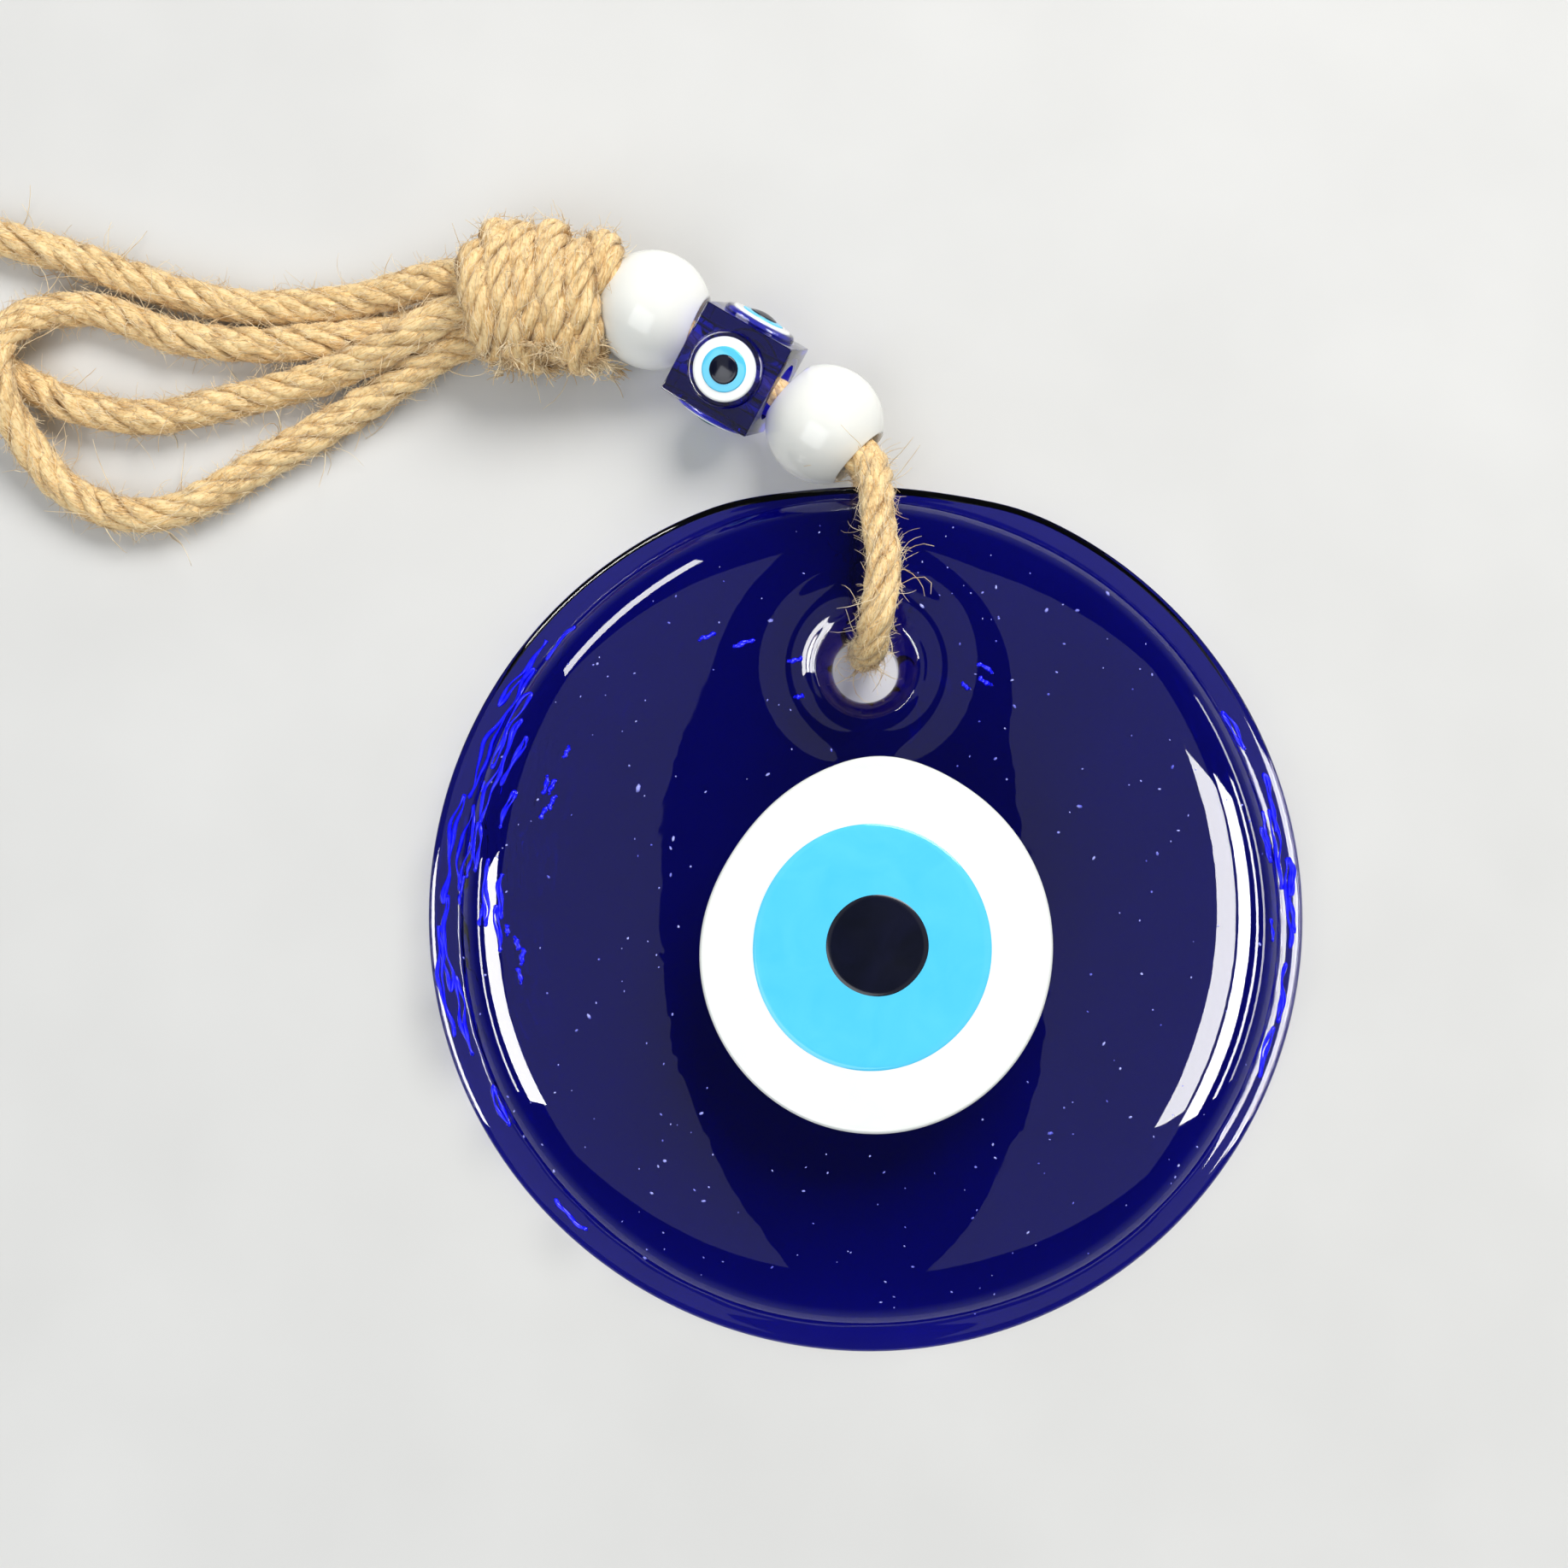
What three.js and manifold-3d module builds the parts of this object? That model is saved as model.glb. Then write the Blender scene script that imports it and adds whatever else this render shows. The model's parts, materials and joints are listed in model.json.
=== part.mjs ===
// Evil eye ornament: a pressed glass eye disc on a jute cord with three beads, a wrapped knot and two loops.
// Millimetres, +Z up. The ornament lies face up. +Y runs from the disc towards its beads.
import * as THREE from "three";
import Module from "manifold-3d";
import { mergeVertices } from "three/addons/utils/BufferGeometryUtils.js";

const wasm = await Module();
wasm.setup();

// ---- Driving dimensions ----
const GAP = 0.3; // clearance kept between pieces that touch
const DISC_RADIUS = 50;
const DISC_TOP = 9.2; // thickness at the flat middle
const DISC_CREASE_RADIUS = 47.4; // where the dome meets the pressed flange
const DISC_CREASE_Z = 4.1;
const DISC_SEGMENTS = 60;
const HOLE_SEGMENTS = 28;
const WHITE_SEGMENTS = 40;
const IRIS_SEGMENTS = 32;
const PUPIL_SEGMENTS = 24;
const EDGE_SEGMENTS = 2; // round each small eased edge
const DISC_TILT = THREE.MathUtils.degToRad(3); // the hole side rests on the cord
const DISC_LIFT = 2.54; // height of the disc's centre that puts its low rim on the floor

const HOLE_Y = 28.2; // hanging hole, from the disc's centre
const HOLE_RADIUS = 4.9;
const COLLAR_RADIUS = 10;
const COLLAR_TOP = 10.4;
const COLLAR_BASE = 8.2;

const WHITE = { x: 0.9, y: -3.2, radius: 20.3, floor: 8.3, top: 9.7, edge: 0.4 };
const IRIS = { x: 0.5, y: -3.2, radius: 13.9, floor: 9.0, top: 10.1, edge: 0.3 };
const PUPIL = { x: 1.1, y: -3.0, radius: 6.1, floor: 9.5, top: 10.5, edge: 0.3 };
const POCKET_DEPTH = 4; // of the cutters, which reach well past each drop's top

const BEAD_RADIUS = 6.95;
const BEAD_HALF_LENGTH = 5.9;
const BEAD_BORE_RADIUS = 3.6;
const BEAD_Z = 7;
const BEAD_SEGMENTS = 24;
const BEAD_ARC_STEPS = 9; // from one flat end to the other
const BEAD_MOUTH_ROUND = 0.25;

const CUBE_SIZE = 11.3;
const CUBE_EDGE = 0.45;
const CUBE_BORE_RADIUS = 3.8;
const CUBE_CUTTER_REACH = 10; // of the bore's cutter, from the middle
const CUBE_EYES = 4;
const SMALL_EYE_SEGMENTS = 16;
const CUBE_ROLL = THREE.MathUtils.degToRad(21);

const CORD_RADIUS = 2; // a 4.4 mm jute cord, drawn a little slim to stay clear of itself
const PENDANT_RADIUS = 1.95;
const PAIR_CAP_RADIUS = 1.5;
const PAIR_CAP_OFFSET = 1.5;
const TAIL_RADIUS = 1.1;
const CORD_SIDES = 8;
const LOOP_LONG_STEPS = 46;
const LOOP_SHORT_STEPS = 40;
const PENDANT_STEPS = 36;
const PAIR_STEPS = 20;
const PAIR_CAP_STEPS = 5;
const TAIL_STEPS = 4;

const UPPER_BEAD = { x: -24.8, y: 71.3, z: BEAD_Z, angle: THREE.MathUtils.degToRad(-24) };
const CUBE_BEAD = { x: -15.0, y: 64.1, z: 7.6, angle: THREE.MathUtils.degToRad(-31) };
const LOWER_BEAD = { x: -4.6, y: 57.5, z: BEAD_Z, angle: THREE.MathUtils.degToRad(-45) };

const KNOT = { y: 73.1, z: 6.75, turns: 5, firstX: -46.6, pitch: 3.1 };
const TURN_TUBE_RADIUS = 1.45;
const TURN_HALF_WIDTH = 6.5; // of a turn's centreline, across the bundle
const TURN_HALF_HEIGHT = 5.1;
const TURN_SLANT = THREE.MathUtils.degToRad(6);
const TURN_SIDES = 7;
const TURN_STEPS = 20;
const CORE_START_X = -48.3;
const CORE_LENGTH = 16.1;
const CORE_HALF_WIDTH = 4.2;
const CORE_HALF_HEIGHT = 2.6;
const CORE_CAP_STEPS = 6;
const WELD_DISTANCE = 1e-4;

// The origin is under the middle of the disc and beads together.
const ORIGIN_Y = (UPPER_BEAD.y + BEAD_RADIUS - DISC_RADIUS) / 2;

// ---- Cord routes, laid by hand: x, y, z of the centreline from the disc's centre on the floor ----
const LOOP_LONG_ROUTE = [
  [-49.3, 75.4, 6.6], [-54, 74.8, 5.0], [-60, 73.9, 3.0], [-67.4, 73.3, 2.2], [-74, 73.3, 2.2],
  [-80.6, 74.6, 2.2], [-87.1, 76.6, 2.2], [-93.8, 79.0, 2.2], [-99, 80.6, 2.2], [-106, 82.2, 2.2],
  [-114, 83.0, 2.2], [-121, 81.2, 2.2], [-125, 76.4, 2.2], [-124.6, 70.8, 2.2], [-120, 66.9, 2.2],
  [-112, 66.0, 2.2], [-104.5, 65.8, 2.2], [-99.2, 63.5, 2.2], [-95.1, 61.5, 2.2], [-89.7, 60.1, 2.2],
  [-83.8, 59.8, 2.2], [-78, 61.1, 2.2], [-72.2, 62.4, 2.2], [-66.3, 63.9, 2.6], [-59.2, 66.1, 4.6],
  [-54, 68.2, 6.4], [-49.3, 70.7, 7.4],
];
const LOOP_SHORT_ROUTE = [
  [-49.3, 72.5, 3.2], [-54, 70.9, 2.4], [-60, 69.7, 2.2], [-66, 69.0, 2.2], [-74, 68.7, 2.2],
  [-82.8, 69.8, 2.2], [-87.1, 71.4, 2.2], [-91.9, 73.0, 2.2], [-96.2, 72.7, 2.9], [-99.8, 71.2, 4.2],
  [-101.9, 68.2, 5.8], [-102.3, 65.0, 6.8], [-101.7, 62.0, 6.6], [-100.4, 58.6, 5.0], [-98.2, 55.0, 3.2],
  [-95.4, 51.6, 2.3], [-89.3, 48.3, 2.2], [-83.5, 48.0, 2.2], [-77.7, 50.2, 2.2], [-72, 53.8, 2.2],
  [-66.1, 57.2, 2.2], [-59.1, 61.5, 2.4], [-54, 64.6, 3.4], [-49.3, 67.3, 4.4],
];
const PENDANT_ROUTE = [
  [0.8, 51.9, 9.7], [1.0, 50.4, 11.3], [1.1, 48.3, 12.7], [1.3, 44.5, 14.1], [1.8, 40.2, 15.7],
  [1.7, 37.0, 17.1], [1.2, 34.2, 17.1], [0.7, 32.0, 15.6], [0.4, 30.6, 13.2], [0.2, 30.2, 10.5],
  [0.1, 30.15, 8.2], [0.1, 30.25, 6.4], [0.1, 30.9, 4.5], [0.1, 32.0, 2.95], [0.2, 33.7, 2.05],
  [0.3, 36.5, 2.0], [0.4, 42, 2.0], [0.4, 47, 2.1], [0.5, 50.3, 2.8], [0.8, 51.9, 4.3],
];
const PAIR_ROUTE = [
  [-31.2, 73.9, 6.9], [-24.8, 71.1, 7.0], [-14.75, 64.2, 7.3], [-4.8, 57.6, 7.0], [-0.3, 53.2, 7.0],
];
const TAIL_ROUTES = [
  [[-42.3, 63.9, 8.4], [-41.4, 63.5, 5.4], [-40.7, 64.3, 2.2]],
  [[-36.6, 63.8, 8.2], [-35.0, 63.3, 5.2], [-33.8, 64.0, 2.3]],
];

// ---- Materials ----
function glassMaterial(color, roughness = 0.05) {
  return new THREE.MeshStandardMaterial({ color, roughness, metalness: 0 });
}

function navyGlass() {
  return glassMaterial(0x06066a);
}

function cobaltGlass() {
  return glassMaterial(0x1a0c8c);
}

function whiteGlass() {
  return glassMaterial(0xf6f8f4, 0.1);
}

function lightBlueGlass() {
  return glassMaterial(0x5fe1ff);
}

function blackGlass() {
  return glassMaterial(0x02030f);
}

function juteMaterial() {
  return new THREE.MeshStandardMaterial({ color: 0xe8c68a, roughness: 0.9, metalness: 0 });
}

// ---- Solids ----
function asSolid(geometry) {
  const bare = geometry.clone();
  bare.deleteAttribute("normal");
  bare.deleteAttribute("uv");
  const merged = mergeVertices(bare, WELD_DISTANCE);
  const corners = merged.index.array;
  const triangles = [];
  for (let i = 0; i < corners.length; i += 3) {
    const [a, b, c] = [corners[i], corners[i + 1], corners[i + 2]];
    if (a !== b && b !== c && c !== a) triangles.push(a, b, c);
  }
  const mesh = new wasm.Mesh({
    numProp: 3,
    vertProperties: merged.attributes.position.array,
    triVerts: new Uint32Array(triangles),
  });
  return new wasm.Manifold(mesh);
}

function asGeometry(solid) {
  const mesh = solid.getMesh();
  const geometry = new THREE.BufferGeometry();
  geometry.setAttribute("position", new THREE.BufferAttribute(mesh.vertProperties, 3));
  geometry.setIndex(new THREE.BufferAttribute(mesh.triVerts, 1));
  geometry.computeVertexNormals();
  return geometry;
}

// A body of revolution about +Z from [radius, height] pairs, listed from the bottom up.
function turned(profile, segments) {
  const points = profile.map(([radius, height]) => new THREE.Vector2(radius, height));
  const geometry = new THREE.LatheGeometry(points, segments);
  geometry.rotateX(Math.PI / 2);
  return geometry;
}

function placed(geometry, x, y, z) {
  geometry.translate(x, y, z);
  return geometry;
}

// A flat plate whose outline is given by its radius at each angle.
function plate(radiusAt, segments, floor, height, bevel) {
  const outline = [];
  for (let i = 0; i < segments; i += 1) {
    const angle = (2 * Math.PI * i) / segments;
    const radius = radiusAt(angle) - bevel;
    outline.push(new THREE.Vector2(radius * Math.cos(angle), radius * Math.sin(angle)));
  }
  const geometry = new THREE.ExtrudeGeometry(new THREE.Shape(outline), {
    depth: height - 2 * bevel,
    bevelEnabled: bevel > 0,
    bevelThickness: bevel,
    bevelSize: bevel,
    bevelSegments: EDGE_SEGMENTS,
  });
  geometry.translate(0, 0, floor + bevel);
  return geometry;
}

// A closed tube of cord along a hand-laid route.
function cordTube(route, radius, steps) {
  const section = [];
  for (let i = 0; i < CORD_SIDES; i += 1) {
    const angle = (2 * Math.PI * (i + 0.5)) / CORD_SIDES;
    section.push(new THREE.Vector2(radius * Math.cos(angle), radius * Math.sin(angle)));
  }
  const path = new THREE.CatmullRomCurve3(route.map((point) => new THREE.Vector3(...point)));
  return new THREE.ExtrudeGeometry(new THREE.Shape(section), {
    steps,
    bevelEnabled: false,
    extrudePath: path,
  });
}

// The cutter that makes room for a drop of glass.
function pocketCutter(radiusAt, segments, drop) {
  const cutter = plate((angle) => radiusAt(angle) + GAP, segments, drop.floor - GAP, POCKET_DEPTH, 0);
  return asSolid(placed(cutter, drop.x, drop.y, 0));
}

function dropPlate(radiusAt, segments, drop) {
  const body = plate(radiusAt, segments, drop.floor, drop.top - drop.floor, drop.edge);
  return placed(body, drop.x, drop.y, 0);
}

// ---- The glass disc and its eye ----
// The white drop spread unevenly: a blunt point above and a flatter upper left.
function whiteRadiusAt(angle) {
  const ovality = 0.45 * Math.cos(2 * (angle - 1.5));
  const upperLeft = -0.9 * Math.exp(-(((angle - 2.5) / 0.45) ** 2));
  const point = 0.8 * Math.exp(-(((angle - 1.52) / 0.3) ** 2));
  return WHITE.radius + ovality + upperLeft + point;
}

function irisRadiusAt(angle) {
  return IRIS.radius + 0.2 * Math.cos(2 * (angle - 1.5));
}

function pupilRadiusAt(angle) {
  return PUPIL.radius - 0.15 * Math.exp(-(((angle - 5.6) / 0.5) ** 2));
}

function discBlank() {
  return turned([
    [0, 0], [48.2, 0], [49.5, 0.6], [DISC_RADIUS, 1.8], [49.6, 3.0], [48.6, 3.8],
    [DISC_CREASE_RADIUS, DISC_CREASE_Z], [46.6, 4.9], [45, 6.1], [42.5, 7.4], [40, 8.2], [37, 8.8],
    [30, 9.1], [22.5, DISC_TOP], [0, DISC_TOP],
  ], DISC_SEGMENTS);
}

function holeCollar() {
  const collar = turned([
    [0, COLLAR_BASE], [COLLAR_RADIUS - 0.4, COLLAR_BASE], [COLLAR_RADIUS, 8.9], [9.2, 9.9], [8.3, 10.3],
    [7.6, COLLAR_TOP], [6.8, 10.3], [0, 10.3],
  ], HOLE_SEGMENTS);
  return placed(collar, 0, HOLE_Y, 0);
}

function holeCutter() {
  const cutter = turned([
    [0, -1], [5.9, -1], [5.9, 0], [5.2, 0.8], [HOLE_RADIUS, 1.8], [HOLE_RADIUS, 6.8],
    [5.3, 8.2], [6.2, 9.6], [7, 10.6], [7, 12], [0, 12],
  ], HOLE_SEGMENTS);
  return placed(cutter, 0, HOLE_Y, 0);
}

function glassDisc() {
  const solid = asSolid(discBlank())
    .add(asSolid(holeCollar()))
    .subtract(asSolid(holeCutter()))
    .subtract(pocketCutter(whiteRadiusAt, WHITE_SEGMENTS, WHITE));
  const mesh = new THREE.Mesh(asGeometry(solid), navyGlass());
  mesh.name = "glass_disc";
  return mesh;
}

function eyeWhite() {
  const solid = asSolid(dropPlate(whiteRadiusAt, WHITE_SEGMENTS, WHITE))
    .subtract(pocketCutter(irisRadiusAt, IRIS_SEGMENTS, IRIS));
  const mesh = new THREE.Mesh(asGeometry(solid), whiteGlass());
  mesh.name = "eye_white";
  return mesh;
}

function eyeIris() {
  const solid = asSolid(dropPlate(irisRadiusAt, IRIS_SEGMENTS, IRIS))
    .subtract(pocketCutter(pupilRadiusAt, PUPIL_SEGMENTS, PUPIL));
  const mesh = new THREE.Mesh(asGeometry(solid), lightBlueGlass());
  mesh.name = "eye_iris";
  return mesh;
}

function eyePupil() {
  const mesh = new THREE.Mesh(dropPlate(pupilRadiusAt, PUPIL_SEGMENTS, PUPIL), blackGlass());
  mesh.name = "eye_pupil";
  return mesh;
}

// ---- Beads ----
// A round bead along +X: a sphere with flattened ends and a straight bore.
function roundBead(name, place) {
  const mouthZ = BEAD_HALF_LENGTH - BEAD_MOUTH_ROUND;
  const mouthRadius = BEAD_BORE_RADIUS + BEAD_MOUTH_ROUND;
  const endAngle = Math.asin(mouthZ / BEAD_RADIUS);
  const profile = [[BEAD_BORE_RADIUS, -mouthZ], [mouthRadius, -BEAD_HALF_LENGTH]];
  for (let i = 0; i <= BEAD_ARC_STEPS; i += 1) {
    const angle = -endAngle + (2 * endAngle * i) / BEAD_ARC_STEPS;
    profile.push([BEAD_RADIUS * Math.cos(angle), BEAD_RADIUS * Math.sin(angle)]);
  }
  profile.push([mouthRadius, BEAD_HALF_LENGTH], [BEAD_BORE_RADIUS, mouthZ]);
  profile.push(profile[0]);
  const geometry = turned(profile, BEAD_SEGMENTS);
  geometry.rotateY(Math.PI / 2);
  const mesh = new THREE.Mesh(geometry, whiteGlass());
  mesh.name = name;
  mesh.position.set(place.x, place.y, place.z);
  mesh.rotation.z = place.angle;
  return mesh;
}

// The drops of one small eye, as heights above the cube's side.
const SMALL_EYE = {
  rim: [[0, -1], [4.55, -1], [4.55, 0.1], [4.4, 0.5], [4.1, 0.75], [0, 0.75]],
  pocket: [[0, -0.55], [3.95, -0.55], [3.95, 2], [0, 2]],
  white: [[0, -0.3], [3.7, -0.3], [3.7, 0.65], [3.45, 0.9], [2.85, 1.0], [2.85, 0.2], [0, 0.2]],
  blue: [[0, 0.45], [2.6, 0.45], [2.6, 1.0], [2.4, 1.15], [1.85, 1.25], [1.85, 0.7], [0, 0.7]],
  black: [[0, 0.95], [1.65, 0.95], [1.65, 1.25], [1.35, 1.5], [0.7, 1.6], [0, 1.6]],
};

function smallEyePiece(name, profile, material, side) {
  const geometry = placed(turned(profile, SMALL_EYE_SEGMENTS), 0, 0, CUBE_SIZE / 2);
  const mesh = new THREE.Mesh(geometry, material);
  mesh.name = name;
  mesh.rotation.x = (side * Math.PI) / 2;
  return mesh;
}

function cubeBlank() {
  const half = CUBE_SIZE / 2 - CUBE_EDGE;
  const outline = new THREE.Shape();
  outline.moveTo(-half, -half);
  outline.lineTo(half, -half);
  outline.lineTo(half, half);
  outline.lineTo(-half, half);
  outline.closePath();
  const geometry = new THREE.ExtrudeGeometry(outline, {
    depth: 2 * half,
    bevelEnabled: true,
    bevelThickness: CUBE_EDGE,
    bevelSize: CUBE_EDGE,
    bevelSegments: EDGE_SEGMENTS,
  });
  geometry.translate(0, 0, -half);
  return geometry;
}

function cubeGlass() {
  const bore = turned([
    [0, -CUBE_CUTTER_REACH], [CUBE_BORE_RADIUS, -CUBE_CUTTER_REACH],
    [CUBE_BORE_RADIUS, CUBE_CUTTER_REACH], [0, CUBE_CUTTER_REACH],
  ], BEAD_SEGMENTS);
  bore.rotateY(Math.PI / 2);
  let solid = asSolid(cubeBlank());
  for (let side = 0; side < CUBE_EYES; side += 1) {
    const rim = placed(turned(SMALL_EYE.rim, SMALL_EYE_SEGMENTS), 0, 0, CUBE_SIZE / 2);
    rim.rotateX((side * Math.PI) / 2);
    solid = solid.add(asSolid(rim));
  }
  for (let side = 0; side < CUBE_EYES; side += 1) {
    const pocket = placed(turned(SMALL_EYE.pocket, SMALL_EYE_SEGMENTS), 0, 0, CUBE_SIZE / 2);
    pocket.rotateX((side * Math.PI) / 2);
    solid = solid.subtract(asSolid(pocket));
  }
  const mesh = new THREE.Mesh(asGeometry(solid.subtract(asSolid(bore))), cobaltGlass());
  mesh.name = "cube_bead";
  return mesh;
}

function cubeBead() {
  const turnedCube = new THREE.Group();
  turnedCube.rotation.x = CUBE_ROLL;
  turnedCube.add(cubeGlass());
  for (let side = 0; side < CUBE_EYES; side += 1) {
    const number = side + 1;
    turnedCube.add(smallEyePiece(`cube_eye_white_${number}`, SMALL_EYE.white, whiteGlass(), side));
    turnedCube.add(smallEyePiece(`cube_eye_blue_${number}`, SMALL_EYE.blue, lightBlueGlass(), side));
    turnedCube.add(smallEyePiece(`cube_eye_black_${number}`, SMALL_EYE.black, blackGlass(), side));
  }
  const group = new THREE.Group();
  group.position.set(CUBE_BEAD.x, CUBE_BEAD.y, CUBE_BEAD.z);
  group.rotation.z = CUBE_BEAD.angle;
  group.add(turnedCube);
  return group;
}

// ---- Cord ----
// An oblong section with round ends, longest along its second axis.
function oblongPoints(halfWidth, halfHeight, capSteps) {
  const points = [];
  const straight = halfHeight - halfWidth;
  for (let cap = 0; cap < 2; cap += 1) {
    const side = cap === 0 ? 1 : -1;
    for (let i = 0; i <= capSteps; i += 1) {
      const angle = Math.PI * (cap + i / capSteps);
      const across = halfWidth * Math.cos(angle);
      points.push(new THREE.Vector2(across, side * straight + halfWidth * Math.sin(angle)));
    }
  }
  return points;
}

function beadCordPair() {
  const path = new THREE.CatmullRomCurve3(PAIR_ROUTE.map((point) => new THREE.Vector3(...point)));
  const quarterTurn = Math.PI / 2;
  const section = oblongPoints(PAIR_CAP_RADIUS, PAIR_CAP_RADIUS + PAIR_CAP_OFFSET, PAIR_CAP_STEPS)
    .map((point) => point.rotateAround(new THREE.Vector2(), quarterTurn));
  const geometry = new THREE.ExtrudeGeometry(new THREE.Shape(section), {
    steps: PAIR_STEPS,
    bevelEnabled: false,
    extrudePath: path,
  });
  const mesh = new THREE.Mesh(geometry, juteMaterial());
  mesh.name = "bead_cord_pair";
  return mesh;
}

function cordMesh(name, route, radius, steps) {
  const mesh = new THREE.Mesh(cordTube(route, radius, steps), juteMaterial());
  mesh.name = name;
  return mesh;
}

function knotCore() {
  const section = new THREE.Shape(oblongPoints(CORE_HALF_HEIGHT, CORE_HALF_WIDTH, CORE_CAP_STEPS));
  const geometry = new THREE.ExtrudeGeometry(section, {
    depth: CORE_LENGTH,
    bevelEnabled: false,
  });
  geometry.rotateY(Math.PI / 2);
  const mesh = new THREE.Mesh(geometry, juteMaterial());
  mesh.name = "knot_core";
  mesh.position.set(CORE_START_X, KNOT.y, KNOT.z);
  return mesh;
}

function knotTurn(index) {
  const tube = TURN_TUBE_RADIUS / TURN_HALF_WIDTH;
  const geometry = new THREE.TorusGeometry(1, tube, TURN_SIDES, TURN_STEPS);
  geometry.rotateY(Math.PI / 2);
  const positions = geometry.attributes.position;
  for (let i = 0; i < positions.count; i += 1) {
    // Ovals the ring's centreline and keeps the cord round.
    const y = positions.getY(i);
    const z = positions.getZ(i);
    const reach = Math.hypot(y, z);
    const out = (reach - 1) * TURN_HALF_WIDTH;
    positions.setX(i, positions.getX(i) * TURN_HALF_WIDTH);
    positions.setY(i, (y / reach) * (TURN_HALF_WIDTH + out));
    positions.setZ(i, (z / reach) * (TURN_HALF_HEIGHT + out));
  }
  const mesh = new THREE.Mesh(geometry, juteMaterial());
  mesh.name = `knot_turn_${index + 1}`;
  mesh.position.set(KNOT.firstX + KNOT.pitch * index, KNOT.y, KNOT.z);
  mesh.rotation.z = TURN_SLANT;
  return mesh;
}

// ---- Assembly ----
function discGroup() {
  const disc = new THREE.Group();
  disc.position.z = DISC_LIFT;
  disc.rotation.x = DISC_TILT;
  disc.add(glassDisc(), eyeWhite(), eyeIris(), eyePupil());
  return disc;
}

function cordGroup() {
  const cord = new THREE.Group();
  cord.add(knotCore());
  for (let i = 0; i < KNOT.turns; i += 1) cord.add(knotTurn(i));
  cord.add(beadCordPair());
  cord.add(cordMesh("pendant_cord", PENDANT_ROUTE, PENDANT_RADIUS, PENDANT_STEPS));
  cord.add(cordMesh("loop_long", LOOP_LONG_ROUTE, CORD_RADIUS, LOOP_LONG_STEPS));
  cord.add(cordMesh("loop_short", LOOP_SHORT_ROUTE, CORD_RADIUS, LOOP_SHORT_STEPS));
  TAIL_ROUTES.forEach((route, i) => {
    cord.add(cordMesh(`cord_tail_${i + 1}`, route, TAIL_RADIUS, TAIL_STEPS));
  });
  return cord;
}

const group = new THREE.Group();
group.position.y = -ORIGIN_Y;
group.add(discGroup(), cordGroup());
group.add(roundBead("bead_upper", UPPER_BEAD), roundBead("bead_lower", LOWER_BEAD), cubeBead());

export default group;
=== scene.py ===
"""Looks of the evil eye ornament: pressed glass, glass beads and jute cord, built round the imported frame."""
import json
import math

import bmesh
import bpy
import numpy as np
from mathutils import Matrix, Vector

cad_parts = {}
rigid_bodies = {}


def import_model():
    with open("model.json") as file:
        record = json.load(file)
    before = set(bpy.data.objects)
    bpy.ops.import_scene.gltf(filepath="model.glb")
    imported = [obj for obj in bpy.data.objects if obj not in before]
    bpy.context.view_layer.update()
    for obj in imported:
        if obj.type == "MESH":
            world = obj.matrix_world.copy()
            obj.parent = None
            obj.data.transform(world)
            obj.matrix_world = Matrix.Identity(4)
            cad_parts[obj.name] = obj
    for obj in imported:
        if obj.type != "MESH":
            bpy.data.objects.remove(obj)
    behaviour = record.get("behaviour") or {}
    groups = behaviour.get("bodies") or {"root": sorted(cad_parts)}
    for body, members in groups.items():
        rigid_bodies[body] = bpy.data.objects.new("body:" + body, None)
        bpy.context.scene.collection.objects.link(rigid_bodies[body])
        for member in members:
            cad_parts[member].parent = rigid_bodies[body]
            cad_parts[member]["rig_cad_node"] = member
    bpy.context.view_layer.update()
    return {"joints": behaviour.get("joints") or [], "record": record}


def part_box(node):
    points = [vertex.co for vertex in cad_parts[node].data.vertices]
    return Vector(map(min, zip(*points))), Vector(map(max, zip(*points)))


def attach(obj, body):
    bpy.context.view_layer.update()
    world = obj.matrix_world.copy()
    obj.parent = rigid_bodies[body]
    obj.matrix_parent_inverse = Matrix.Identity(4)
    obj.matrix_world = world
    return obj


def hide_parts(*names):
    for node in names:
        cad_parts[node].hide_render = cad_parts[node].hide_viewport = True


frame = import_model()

MM = 0.001
TAU = 2 * math.pi


# ---- What the frame says ----
def joint(name):
    return next(j for j in frame["joints"] if j["name"] == name)


def mount(name):
    return next(m for m in frame["record"]["mounts"] if m["name"] == name)


def unit(vector):
    return Vector(vector).normalized()


FLAT_RADIUS = 48.2 * MM  # of the disc's flat back, which rests on the floor at its low edge
RIM_HEIGHT = 1.8 * MM  # of the disc's widest line above its back


def disc_matrix():
    """The disc's own frame: its back's middle, with Z out of the eye and Y towards the hole."""
    low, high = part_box("glass_disc")
    up = unit(mount("back_face")["axis"]) * -1
    right = Vector((1, 0, 0))
    along = up.cross(right)
    middle = (low + high) / 2
    origin = Vector((middle.x - up.x * RIM_HEIGHT, middle.y - up.y * RIM_HEIGHT, 0))
    origin.z = low.z + FLAT_RADIUS * math.hypot(up.x, up.y)
    matrix = Matrix((right, along, up)).transposed().to_4x4()
    matrix.translation = origin
    return matrix


DISC = disc_matrix()
ROUTE_ORIGIN = np.array((DISC.translation.x, DISC.translation.y, 0.0))
HOLE = (DISC.inverted() @ Vector(joint("disc_swing")["pos_m"])).xy / MM + Vector((0, 0.3))
DISC_RADIUS = (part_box("glass_disc")[1].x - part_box("glass_disc")[0].x) / 2 / MM


def bore_matrix(joint_name):
    """A bead's own frame: X along its bore, Z as near to up as that allows."""
    spin = joint(joint_name)
    along = unit(spin["axis"])
    side = Vector((0, 0, 1)).cross(along).normalized()
    matrix = Matrix((along, side, along.cross(side))).transposed().to_4x4()
    matrix.translation = Vector(spin["pos_m"])
    return matrix


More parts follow.
